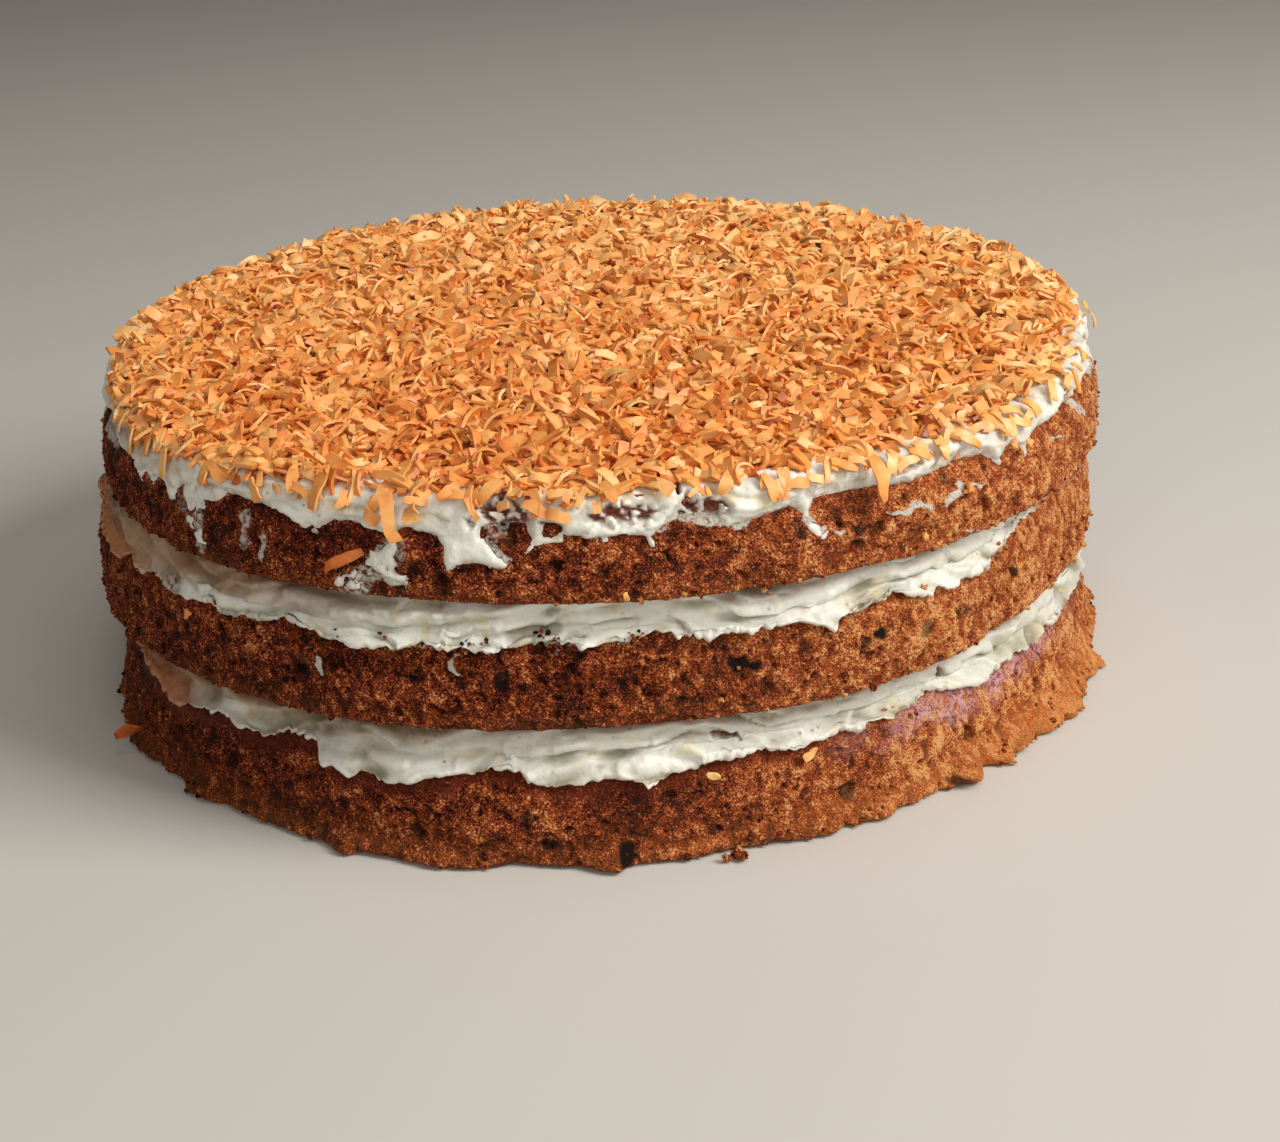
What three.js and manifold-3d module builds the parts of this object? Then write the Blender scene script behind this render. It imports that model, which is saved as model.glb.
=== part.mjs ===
// Carrot cake, 230 mm across and about 80 mm high: three round carrot sponges, cream cheese filling
// spread between them, and a cream cheese top that runs over the rim in drips and is covered with
// toasted coconut flakes.
// Units are millimetres, +Z is up, and the origin is at the centre of the foot.
import * as THREE from "three";
import { mergeVertices } from "three/addons/utils/BufferGeometryUtils.js";
import Module from "manifold-3d";

const wasm = await Module();
wasm.setup();

// ---- driving sizes -----------------------------------------------------------------------------
const SPONGE_RADIUS = 115;
const SEGMENTS = 66; // steps round the cake, shared by all its layers
const GAP = 0.3; // left between pieces that touch
const SIMPLIFY = 0.05; // how far a joined solid's surface may move when its slivers are merged

// Each sponge's foot and top, and the waves [turns, height, phase] that leave it a little out of round.
const BOTTOM = {
  foot: 0,
  top: 21.4,
  radius: 116,
  taper: 3,
  waves: [[1, 1.5, -2.7], [2, 0.9, -1.2], [3, 0.6, 0], [5, 0.5, 1.6], [7, 0.4, 0.2]],
};
const MIDDLE = {
  foot: 29.3,
  top: 49,
  radius: 116,
  taper: 0.8,
  waves: [[1, 2.5, -2.9], [2, 1, -1.1], [3, 0.2, 1.3], [5, 0.7, -0.4], [7, 0.5, 1]],
};
const TOP = {
  foot: 56.8,
  top: 72.6,
  radius: 116,
  taper: 2,
  waves: [[1, 0.7, 1.5], [2, 0.3, -3.1], [3, 0.3, 1.5], [5, 0.6, -1.4], [7, 0.3, -1.7]],
};

// The side of a sponge from foot to shoulder: [share of its height, how far in from its radius].
const SPONGE_SIDE = [[0, 2.6], [0.1, 0.7], [0.3, 0], [0.55, 0.1], [0.78, 0.9], [0.92, 2.4], [1, 5]];
const CRAG_HEIGHT = 0.9; // crumb torn from the sides
const FOOT_FLARE = { from: -62, to: 8, reach: 2.4 }; // degrees; crust that spreads at the foot

// Cream cheese on a sponge's side: [share of the way up from hem to shoulder, how far it stands off].
const LIP = [[0, 0.7], [0.35, 1.8]];
const SKIN = [[0, 0.8], [0.12, 1.5], [0.55, 1.9], [0.9, 1.7]];
// Where the filling turns over the shoulder: mm above the sponge, and as far out as the side is below it.
const FILLING_TURN = { above: 0.8, below: 2.4 };
// The filling's face under the upper sponge: share of the gap, how far in from that sponge's outline.
const FILLING_FACE = [
  { share: 0.5, inset: 4.4, ripple: 1 },
  { share: 1, inset: 6.4, ripple: 0.4 },
];
const REACH = 2; // how far a spread form goes down into its sponge before the sponge is cut out of it

const FROSTING_COVER = 3.2; // frosting on the top sponge, above its shoulder
const COCONUT_BED = 2.6; // packed coconut on the frosting, in the middle of the top
const BED_BUMP = 0.8;
const BED_RINGS = [0.93, 0.82, 0.68, 0.52, 0.34, 0.17]; // shares of the sponge's radius

// Where cream cheese hangs over a sponge's shoulder: [degrees, half width in degrees, drop in mm],
// and the drop that it has at least.
const LOWER_LIPS = {
  least: 1.4,
  folds: [
    [-148, 7, 4.5], [-137, 9, 3], [-118, 8, 5], [-98, 5, 4.2], [-87, 4, 4.4], [-74, 7, 1.8], [-42, 6, 2.6],
    [-12, 8, 4], [20, 6, 2.5], [45, 7, 4.6], [78, 9, 3], [110, 6, 4.8], [137, 8, 2.6], [168, 7, 4],
  ],
};
const UPPER_LIPS = {
  least: 1.4,
  folds: [
    [-150, 8, 3.6], [-133, 5, 3.2], [-116, 6, 3.6], [-93, 4, 3], [-80, 5, 2.8], [-69, 4, 4.4], [-51, 6, 2.9],
    [-22, 7, 2.4], [6, 5, 4], [33, 8, 2.8], [62, 5, 4.4], [96, 8, 3], [124, 5, 4.2], [155, 7, 2.6],
  ],
};
const TOP_DRIPS = {
  least: 2.2,
  folds: [
    [-103, 6, 9.5], [-112, 5, 4], [-125, 6, 3], [-137, 5, 5], [-88, 9, 4.5], [-77, 6, 3.5],
    [-69, 3.5, 5], [-50, 7, 2.5], [-32, 6, 2], [10, 7, 4], [38, 5, 6.5], [74, 8, 3.5],
    [101, 5, 7.5], [128, 7, 3], [158, 6, 6],
  ],
};

const FLAKE_COUNT = 142;
const FLAKE_THICKNESS = 0.9;
const FLAKE_LENGTH = [5.5, 12];
const FLAKE_WIDTH = [1.8, 3.4];
const GOLDEN_ANGLE = Math.PI * (3 - Math.sqrt(5));

const SPONGE_BROWN = 0x8b4a26;
const CREAM_WHITE = 0xe6e0cf;
const TOASTED_GOLD = 0xd8924e;

// ---- repeatable roughness ----------------------------------------------------------------------
// A seeded stream of numbers from 0 to 1.
function randomStream(seed) {
  let state = seed;
  return () => {
    state = (state + 0x6d2b79f5) | 0;
    let t = Math.imul(state ^ (state >>> 15), 1 | state);
    t = (t + Math.imul(t ^ (t >>> 7), 61 | t)) ^ t;
    return ((t ^ (t >>> 14)) >>> 0) / 4294967296;
  };
}

function latticeValue(i, j, seed) {
  const s = Math.sin(i * 127.1 + j * 311.7 + seed * 74.7) * 43758.5453;
  return 2 * (s - Math.floor(s)) - 1;
}

// Smooth noise from -1 to 1 over a lattice of unit cells. A wrap makes it repeat along u.
function noise(u, v, seed, wrap = Infinity) {
  const i = Math.floor(u);
  const j = Math.floor(v);
  const ease = (t) => t * t * (3 - 2 * t);
  const across = ease(u - i);
  const along = ease(v - j);
  const at = (a, b) => latticeValue(wrap === Infinity ? a : ((a % wrap) + wrap) % wrap, b, seed);
  const low = at(i, j) * (1 - across) + at(i + 1, j) * across;
  const high = at(i, j + 1) * (1 - across) + at(i + 1, j + 1) * across;
  return low * (1 - along) + high * along;
}

// Noise round the cake's side, with cells of about the given size.
function sideNoise(angle, height, cell, seed) {
  const cells = Math.round((2 * Math.PI * SPONGE_RADIUS) / cell);
  return noise(((angle / (2 * Math.PI)) + 0.5) * cells, height / cell, seed, cells);
}

function degreesApart(a, b) {
  return Math.abs(((a - b + 540) % 360) - 180);
}

// 1 at the middle of a bump of this half width, easing to 0 at its ends.
function bump(distance, halfWidth) {
  return distance < halfWidth ? 0.5 + 0.5 * Math.cos((Math.PI * distance) / halfWidth) : 0;
}

// ---- solids --------------------------------------------------------------------------------------
function solidFrom(geometry) {
  geometry.deleteAttribute("normal");
  geometry.deleteAttribute("uv");
  const merged = mergeVertices(geometry);
  const mesh = new wasm.Mesh({
    numProp: 3,
    vertProperties: new Float32Array(merged.getAttribute("position").array),
    triVerts: new Uint32Array(merged.index.array),
  });
  return new wasm.Manifold(mesh);
}

function geometryFrom(solid) {
  const mesh = solid.getMesh();
  const geometry = new THREE.BufferGeometry();
  geometry.setAttribute("position", new THREE.BufferAttribute(mesh.vertProperties, 3));
  geometry.setIndex(new THREE.BufferAttribute(mesh.triVerts, 1));
  geometry.computeVertexNormals();
  return geometry;
}

// A solid of revolution whose points are then moved: place(radius, angle, height, row) gives a point's
// [radius, height].
function turned(profile, place) {
  const points = profile.map(([radius, height]) => new THREE.Vector2(radius, height));
  const lathe = new THREE.LatheGeometry(points, SEGMENTS);
  lathe.rotateX(Math.PI / 2);
  const position = lathe.getAttribute("position");
  for (let i = 0; i < position.count; i++) {
    const row = i % profile.length;
    const column = Math.floor(i / profile.length) % SEGMENTS;
    const angle = (column / SEGMENTS) * 2 * Math.PI - Math.PI;
    const [radius, height] = place(profile[row][0], angle, profile[row][1], row);
    position.setXYZ(i, radius * Math.cos(angle), radius * Math.sin(angle), height);
  }
  return solidFrom(lathe);
}

// ---- sponges -------------------------------------------------------------------------------------
function outline(layer, angle) {
  return layer.waves.reduce(
    (radius, [turns, height, phase]) => radius + height * Math.cos(turns * angle + phase),
    layer.radius,
  );
}

// The radius of a sponge's skin at a share of its height, crags and all.
function spongeRadius(layer, angle, share, inset) {
  const height = layer.foot + share * (layer.top - layer.foot);
  const rough = sideNoise(angle, height, 13, layer.foot) + 0.5 * sideNoise(angle, height, 6, layer.foot + 1);
  const calm = 1 - 0.7 * share ** 4;
  const radius = outline(layer, angle) - layer.taper * share - inset;
  return radius + CRAG_HEIGHT * rough * calm + flare(layer, angle, share);
}

function flare(layer, angle, share) {
  const middle = (FOOT_FLARE.from + FOOT_FLARE.to) / 2;
  const halfWidth = (FOOT_FLARE.to - FOOT_FLARE.from) / 2;
  const round = bump(degreesApart(THREE.MathUtils.radToDeg(angle), middle), halfWidth);
  return layer === BOTTOM ? FOOT_FLARE.reach * round * Math.max(0, 1 - share / 0.4) : 0;
}

// The radius of its side at a height, on the straight between the two rows beside it.
function sideRadius(layer, angle, height) {
  const share = (height - layer.foot) / (layer.top - layer.foot);
  const above = Math.max(1, SPONGE_SIDE.findIndex(([rowShare]) => rowShare >= share));
  const [low, high] = [SPONGE_SIDE[above - 1], SPONGE_SIDE[above]];
  const blend = (share - low[0]) / (high[0] - low[0]);
  return (1 - blend) * spongeRadius(layer, angle, ...low) + blend * spongeRadius(layer, angle, ...high);
}

// A sponge, or with a clearance the room that it takes up.
function sponge(layer, clearance = 0) {
  const thickness = layer.top - layer.foot;
  const heightAt = (share) => layer.foot + share * thickness + clearance * (share > 0.5 ? 1 : -1);
  const profile = [
    [0, heightAt(0)],
    ...SPONGE_SIDE.map(([share]) => [SPONGE_RADIUS, heightAt(share)]),
    [0, heightAt(1)],
  ];
  return turned(profile, (radius, angle, height, row) => {
    const side = SPONGE_SIDE[row - 1];
    return side ? [spongeRadius(layer, angle, ...side) + clearance, height] : [0, height];
  });
}

// ---- cream cheese --------------------------------------------------------------------------------
// The height of its lower edge on a sponge's side, where it folds down over the shoulder.
function hem(layer, lips, angle) {
  const degrees = THREE.MathUtils.radToDeg(angle);
  const drops = lips.folds.map(([at, halfWidth, drop]) => drop * bump(degreesApart(degrees, at), halfWidth));
  return layer.top - Math.max(lips.least, ...drops) - 0.5 * Math.abs(sideNoise(angle, 0, 17, layer.top));
}

// A form turned from rings { radius(angle), height(angle) }, without the room that the sponge below takes up.
function spread(layer, rings, topHeight) {
  const core = { radius: () => 0.9 * SPONGE_RADIUS, height: () => layer.top - REACH };
  const rows = [core, ...rings];
  const profile = [[0, layer.top - REACH], ...rows.map(() => [SPONGE_RADIUS, layer.top]), [0, topHeight]];
  const form = turned(profile, (radius, angle, height, row) => {
    const ring = rows[row - 1];
    return ring ? [ring.radius(angle), ring.height(angle)] : [0, height];
  });
  return form.subtract(sponge(layer, GAP)).simplify(SIMPLIFY);
}

// The filling between two sponges: lips over the lower one's shoulder, then in under the upper one's foot.
function filling(lower, upper, lips, seed) {
  const top = upper.foot - GAP;
  const wave = (angle, height) =>
    sideNoise(angle, 0, 34, seed) + 0.6 * sideNoise(angle, height, 15, seed + 1);
  const lip = LIP.map(([share, thickness]) => {
    const height = (angle) => hem(lower, lips, angle) + share * (lower.top - hem(lower, lips, angle));
    return { height, radius: (angle) => sideRadius(lower, angle, height(angle)) + thickness };
  });
  const turn = {
    height: () => lower.top + FILLING_TURN.above,
    radius: (angle) => sideRadius(lower, angle, lower.top - FILLING_TURN.below) + 0.5 * wave(angle, top),
  };
  const face = FILLING_FACE.map(({ share, inset, ripple }) => {
    const height = lower.top + share * (top - lower.top);
    const radius = (angle) => outline(upper, angle) - inset + ripple * wave(angle, height);
    return { height: () => height, radius };
  });
  return spread(lower, [...lip, turn, ...face], top);
}

// ---- frosted top -----------------------------------------------------------------------------------

// The coconut bed's height above the sponge, lumpy, and thinner towards the rim.
function bedHeight(radius, angle) {
  const x = radius * Math.cos(angle);
  const y = radius * Math.sin(angle);
  const lumps = noise(x / 8 + 40, y / 8 + 40, 71) + 0.6 * noise(x / 19 + 40, y / 19 + 40, 72);
  const bed = COCONUT_BED * Math.min(1, (1.03 * SPONGE_RADIUS - radius) / 14);
  return TOP.top + FROSTING_COVER + bed + BED_BUMP * lumps * Math.min(1, (SPONGE_RADIUS - radius) / 6);
}

function frostedTop() {
  const skin = SKIN.map(([share, thickness]) => {
    const height = (angle) => hem(TOP, TOP_DRIPS, angle) + share * (TOP.top - hem(TOP, TOP_DRIPS, angle));
    return { height, radius: (angle) => sideRadius(TOP, angle, height(angle)) + thickness };
  });
  const rim = [[0.3, 1.4], [-2.2, FROSTING_COVER]].map(([out, up]) => ({
    height: () => TOP.top + up,
    radius: (angle) => sideRadius(TOP, angle, TOP.top - 4) + out,
  }));
  const bed = BED_RINGS.map((share) => ({
    height: (angle) => bedHeight(share * SPONGE_RADIUS, angle),
    radius: () => share * SPONGE_RADIUS,
  }));
  return spread(TOP, [...skin, ...rim, ...bed], bedHeight(0, 0));
}

// ---- toasted coconut -------------------------------------------------------------------------------
// One shaving: a strip that narrows to one end and curls along its length.
function shaving(length, width, curl, taper) {
  const strip = new THREE.BoxGeometry(length, width, FLAKE_THICKNESS, length > 9 ? 3 : 2, 1, 1);
  const position = strip.getAttribute("position");
  for (let i = 0; i < position.count; i++) {
    const along = position.getX(i) / length;
    position.setY(i, position.getY(i) * (1 - taper * (along + 0.5)));
    position.setZ(i, position.getZ(i) + curl * length * (along * along - 0.08));
  }
  return strip;
}

// Shavings in a sunflower's spiral, so that they lie evenly over the whole top.
function shavings() {
  const random = randomStream(20);
  const between = ([low, high], t = random()) => low + (high - low) * t;
  const strips = [];
  for (let i = 0; i < FLAKE_COUNT; i++) {
    const radius = Math.sqrt((i + 0.5) / FLAKE_COUNT) * (SPONGE_RADIUS - 2.5);
    const angle = i * GOLDEN_ANGLE + between([-0.04, 0.04]);
    const curl = between([-0.2, 0.32]);
    const taper = between([0.1, 0.6]);
    const strip = shaving(between(FLAKE_LENGTH), between(FLAKE_WIDTH), curl, taper);
    const heading = between([0, 2 * Math.PI]);
    const tilt = new THREE.Euler(between([-0.55, 0.55]), between([-0.5, 0.5]), heading, "ZYX");
    const stand = bedHeight(radius, angle) + between([0, 0.6]);
    strip.applyMatrix4(new THREE.Matrix4().makeRotationFromEuler(tilt));
    strip.translate(radius * Math.cos(angle), radius * Math.sin(angle), stand);
    strips.push(solidFrom(strip));
  }
  return strips;
}

// The shavings fused to the frosted top, without the few that land clear of it.
function largestBody(solids) {
  const bodies = wasm.Manifold.union(solids).simplify(SIMPLIFY).decompose();
  return bodies.reduce((largest, body) => (body.volume() > largest.volume() ? body : largest));
}

// ---- the cake ----------------------------------------------------------------------------------------
function node(name, solid, color, roughness) {
  const material = new THREE.MeshStandardMaterial({ color, roughness, metalness: 0 });
  const mesh = new THREE.Mesh(geometryFrom(solid), material);
  mesh.name = name;
  return mesh;
}

const cake = new THREE.Group();
cake.add(node("sponge_bottom", sponge(BOTTOM), SPONGE_BROWN, 0.9));
cake.add(node("filling_lower", filling(BOTTOM, MIDDLE, LOWER_LIPS, 30), CREAM_WHITE, 0.45));
cake.add(node("sponge_middle", sponge(MIDDLE), SPONGE_BROWN, 0.9));
cake.add(node("filling_upper", filling(MIDDLE, TOP, UPPER_LIPS, 40), CREAM_WHITE, 0.45));
cake.add(node("sponge_top", sponge(TOP), SPONGE_BROWN, 0.9));
cake.add(node("frosting_top", largestBody([frostedTop(), ...shavings()]), TOASTED_GOLD, 0.7));

export default cake;
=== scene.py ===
import math

import bpy
import numpy as np
from mathutils import Matrix


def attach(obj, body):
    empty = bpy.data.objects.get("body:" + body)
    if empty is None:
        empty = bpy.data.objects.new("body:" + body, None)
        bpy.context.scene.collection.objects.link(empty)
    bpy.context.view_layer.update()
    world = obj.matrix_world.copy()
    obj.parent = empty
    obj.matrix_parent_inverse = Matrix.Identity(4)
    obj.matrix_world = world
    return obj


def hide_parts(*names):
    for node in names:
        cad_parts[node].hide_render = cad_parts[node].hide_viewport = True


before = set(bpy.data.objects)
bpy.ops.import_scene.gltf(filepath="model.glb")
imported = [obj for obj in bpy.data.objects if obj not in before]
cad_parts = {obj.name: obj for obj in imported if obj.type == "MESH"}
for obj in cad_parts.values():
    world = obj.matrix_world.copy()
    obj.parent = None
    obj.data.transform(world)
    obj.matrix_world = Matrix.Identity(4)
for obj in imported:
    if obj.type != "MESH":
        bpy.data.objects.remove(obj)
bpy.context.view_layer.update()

# The three carrot sponges, baked in one round tin and stacked with their flat tops up. The crumb is moist
# and open, full of pores, granules, raisins and nuts. Lengths are in millimetres and angles in degrees
# here, and -90 degrees is the front.
MM = 0.001
SIDE_REACH = 115
MM_PER_DEGREE = math.radians(1) * SIDE_REACH
SPONGE_COLUMNS = 1440
SPONGE_ROWS = 58
SPONGE_RINGS = (12, 22)
# how far out a flat face goes, as a share of the slab that it starts from
SPONGE_FLAT = 0.94
BOTTOM = {
    "name": "sponge_bottom", "seed": 101, "foot": 0, "top": 21.4, "radius": 116, "taper": 3,
    "waves": [(1, 1.5, -2.7), (2, 0.9, -1.2), (3, 0.6, 0), (5, 0.5, 1.6), (7, 0.4, 0.2)],
}
MIDDLE = {
    "name": "sponge_middle", "seed": 202, "foot": 29.3, "top": 49, "radius": 116, "taper": 0.8,
    "waves": [(1, 2.5, -2.9), (2, 1, -1.1), (3, 0.2, 1.3), (5, 0.7, -0.4), (7, 0.5, 1)],
}
TOP = {
    "name": "sponge_top", "seed": 303, "foot": 56.8, "top": 72.6, "radius": 116, "taper": 2,
    "waves": [(1, 0.7, 1.5), (2, 0.3, -3.1), (3, 0.3, 1.5), (5, 0.6, -1.4), (7, 0.3, -1.7)],
}
# the heights of the joins between the layers, at the middle of each filling
LOWER_JOIN = 29
UPPER_JOIN = 56.5
# how a sponge's side curves in: share of its height, and mm in from its widest
SIDE_SHARES = [0, 0.05, 0.12, 0.3, 0.55, 0.78, 0.92, 1]
SIDE_INSETS = [0.5, 0.1, 0, 0, 0.1, 0.9, 2.4, 5]
# where the foot spreads: angle, half width in degrees, reach and height in mm
FOOT_LOBES = [
    (-66, 15, 2.2, 7), (-51, 4, 6.6, 7), (-43, 5, 5.2, 8), (-37, 5, 5, 8), (-30, 7, 5.2, 10),
    (-21, 7, 3, 9), (-3, 10, 2.4, 7), (-91.5, 3, 3.6, 4), (-100, 5, -1.6, 4), (-109, 8, 1.4, 5),
    (-118, 6, 2.2, 5), (-139, 5, 2.4, 4), (-152, 5, 2.6, 5), (24, 9, 2.4, 6), (52, 10, 3, 7),
    (88, 8, 2, 5), (121, 10, 3, 7), (150, 8, 2.2, 5), (176, 8, 3, 6),
]
# raisins, nuts and dark crumb that show: angle, height, half width and half height in mm, how dark
DARK_BITS = {
    "sponge_bottom": [
        (-97.3, 4.5, 1.9, 1.6, 0.9), (-99.3, 9, 1.6, 2.6, 0.7), (-89.5, 2.4, 1.9, 2.6, 1),
        (-66, 6.5, 2.2, 1.8, 0.8), (-51, 12, 1.3, 1.6, 0.7), (-80.6, 4.2, 1.4, 1.3, 0.7),
        (-110.5, 5, 1.5, 1.9, 0.6), (-52.5, 1.6, 2.4, 1, 0.7), (-119, 9, 1.8, 1.6, 0.6),
        (-72.5, 12.5, 1.2, 1.4, 0.5), (-55.5, 9.5, 1, 2.6, 0.6), (-128, 6, 2, 1.6, 0.6),
    ],
    "sponge_middle": [
        (-77.6, 40.2, 2.8, 2, 1), (-76, 39, 1.6, 1.6, 1), (-62.2, 40.8, 2, 1.5, 1),
        (-64.2, 39, 1.5, 1.2, 0.8), (-56.3, 38, 2.4, 1.6, 0.6), (-101, 40.2, 1.6, 2.8, 0.9),
        (-89.4, 38, 1.4, 1.5, 0.8), (-40.5, 39.5, 1.8, 1.4, 0.9), (-109, 40.6, 1.6, 1.3, 0.6),
        (-121.5, 39, 2, 2.4, 0.7), (-71, 41, 1.3, 1.3, 0.6), (-117.5, 33.5, 1.4, 1.4, 0.5),
        (-95, 33.5, 1.1, 1.2, 0.6), (-134, 38, 2, 1.5, 0.6), (-50.5, 38.6, 2.6, 0.9, 0.5),
        (-83.4, 34, 1.2, 1.2, 0.6),
    ],
    "sponge_top": [
        (-45, 60.8, 1, 0.8, 0.8), (-65.4, 64.6, 1.6, 1.6, 0.8), (-71.5, 66.5, 1.2, 2, 0.6),
        (-88, 57.6, 1.1, 0.9, 0.6), (-90.5, 63, 1.3, 1.6, 0.6), (-108.5, 62.8, 1.4, 2, 0.6),
        (-132, 63, 1.8, 2, 0.6), (-99.2, 70, 1.4, 2.6, 0.7), (-93.8, 71.2, 1.2, 1.2, 0.7),
        (-78, 64.5, 1.3, 1.2, 0.5), (-57, 62, 1.1, 1.1, 0.5), (-54.6, 69.5, 1.5, 1.2, 0.6),
    ],
}
# how many more each sponge has on its far side
UNSEEN_BITS = 34
# rounder lumps of crumb that stand out of the side: angle, height, half width, half height and rise in mm
CRUMB_MOUNDS = {
    "sponge_bottom": [
        (-104, 9, 5, 4, 0.6), (-57, 8, 4, 4, 0.7), (-45, 10, 3, 4, 0.8), (70, 9, 5, 4, 0.7),
        (150, 8, 4, 4, 0.7),
    ],
    "sponge_middle": [
        (-112, 37, 4, 4, 0.6), (-73, 36, 4, 3, 0.6), (-53, 36, 3.6, 3, 0.6), (30, 38, 5, 4, 0.7),
    ],
    "sponge_top": [
        (-109.3, 66.3, 2.6, 3.8, 1.2), (-103.4, 60.6, 3.6, 3, 0.8), (-74, 63, 3.4, 3, 0.6),
        (120, 64, 4, 3, 0.7),
    ],
}
# frosting wiped thinly on the crumb: angle and height at both ends, half width in mm, and how strong
CRUMB_SMEARS = {
    "sponge_bottom": [(-58.4, 19.4, -57, 19.2, 0.4)],
    "sponge_middle": [
        (-105.6, 44.6, -105.9, 42.4, 0.5), (-105.9, 42.4, -104.8, 40.9, 0.5),
        (-105.6, 44.6, -105, 45, 0.4), (-119.7, 40.9, -119.3, 38.4, 0.5),
        (-103.2, 45.8, -101.6, 46.1, 0.6), (-108.9, 46.4, -108.3, 46.2, 0.6),
        (-111, 46.9, -110, 46.4, 0.5), (-96.6, 46.2, -94.4, 46.6, 0.5),
    ],
    "sponge_top": [
        (-103.6, 75.4, -100.4, 70.4, 2.4, 0.45), (-96.6, 71, -94.4, 71.4, 1.4, 0.3),
        (-92.6, 73.4, -85, 72, 3, 0.55), (-84.4, 73.6, -77.6, 71.8, 3, 0.6),
        (-62.2, 66.9, -57, 65.3, 0.7, 0.7), (-134.4, 67, -134.2, 60, 1.9, 0.52),
        (-125, 65, -125.4, 61, 0.9, 0.56), (-101.4, 69, -99.6, 65.4, 1.1, 0.6),
        (-60, 66.2, -58.4, 66.6, 1, 0.64), (-55, 65.4, -52.6, 67.6, 0.9, 0.72),
        (-53, 68.6, -50.4, 66, 0.8, 0.7), (-50.4, 66, -50, 65.4, 0.6, 0.6),
        (-36, 67.6, -33.6, 66.4, 0.8, 0.6), (-30, 74, -26, 67, 1.8, 0.6),
        (-110.6, 66.4, -115, 57.4, 3, 0.5), (-112, 61, -109.6, 60, 1, 0.8),
        (-53.6, 58.6, -51, 57.6, 0.5, 0.62), (-68.4, 66, -67.2, 65.8, 0.6, 0.66),
        (-138, 69.6, -137, 66, 1.6, 0.5), (-127.2, 68.8, -127.7, 63, 1.3, 0.54),
        (-150, 68.6, -143, 66, 2.4, 0.5), (-64, 74.6, -57, 73.8, 1.6, 0.5),
        (-71.4, 71, -69.6, 66, 1.2, 0.6), (24, 71, 30, 70.6, 2.4, 0.6), (80, 69, 88, 70, 3, 0.6),
        (112, 70, 118, 69.4, 2.4, 0.55), (138, 70, 147, 71, 3, 0.6), (166, 70, 174, 69.6, 2.8, 0.6),
        (196, 69, 204, 69.6, 2.6, 0.6), (52, 70.4, 57, 68, 2, 0.5), (-16, 70, -11, 69, 2.4, 0.6),
    ],
}
# the moister crumb is darker, and painted light and shade make the lit right lighter and the left darker:
# angle, and how dry and light it is there from 0 to 1
DRY_SIDE = [
    (-162, -0.4), (-145, -0.46), (-128, -0.35), (-108, -0.05), (-92, 0.12), (-80, 0.36), (-66, 0.72),
    (-50, 0.98), (-38, 1.16), (-15, 1.08), (20, 0.7), (70, 0.4), (120, 0.6), (165, 0.3),
]
# the lower edge of the frosting on the top sponge: angle and height, all the way round
DRIP_EDGE = [
    (-153, 70), (-149, 69.4), (-147, 67), (-146, 66.4), (-145, 69.6), (-143.6, 66.6), (-142, 70.6),
    (-140, 67.6), (-139, 66.4), (-137.6, 71), (-134, 72.8), (-130, 73), (-127, 72.4), (-125, 71.8),
    (-122.6, 70.8), (-120.4, 68.6), (-118.8, 69), (-117.4, 71), (-115, 71.4), (-113, 70), (-111, 69.4),
    (-109.4, 71), (-107.4, 70.2), (-105.8, 69), (-104.8, 73), (-103.4, 76.4), (-99, 76.6), (-97, 75.6),
    (-95.6, 74.4), (-94.6, 72.6), (-93.8, 70.4), (-92, 69.4), (-90, 69.2), (-88, 70), (-86, 68.8),
    (-84.4, 71.6), (-83, 74.4), (-81, 74.8), (-79.3, 73), (-78.4, 70.4), (-76.4, 70.3), (-74, 71.4),
    (-72, 72.8), (-70.6, 73.4), (-69, 74.3), (-65.6, 74.7), (-63, 73.8), (-61, 72.4), (-58.4, 71.9),
    (-56, 73), (-54, 73.6), (-51.4, 74.6), (-49, 73.2), (-47.8, 71), (-46.8, 69.6), (-45.8, 71.5),
    (-44, 72.4), (-43, 70.6), (-42, 69.2), (-40.8, 71.4), (-38, 72.2), (-35, 71.8), (-32, 72.8),
    (-28, 71.6), (-22, 72.6), (-16, 71), (-9, 73), (-2, 72.4), (5, 70), (9, 67.6), (12, 68.4), (16, 72),
    (24, 73.2), (32, 72), (35.6, 68), (38, 65.4), (40.4, 68), (44, 72.4), (54, 73), (62, 72), (70, 69.6),
    (75, 68.8), (80, 71), (88, 73), (95, 72.4), (98.6, 68), (101, 64.6), (103.4, 68.6), (107, 72.6),
    (117, 73), (124, 70.6), (128, 69.2), (133, 71.4), (142, 73), (151, 71.8), (155, 67.8), (158, 66),
    (161, 68.6), (165, 72.4), (175, 73), (184, 71), (190, 69.2), (196, 72.2), (202, 72.8),
]
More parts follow.
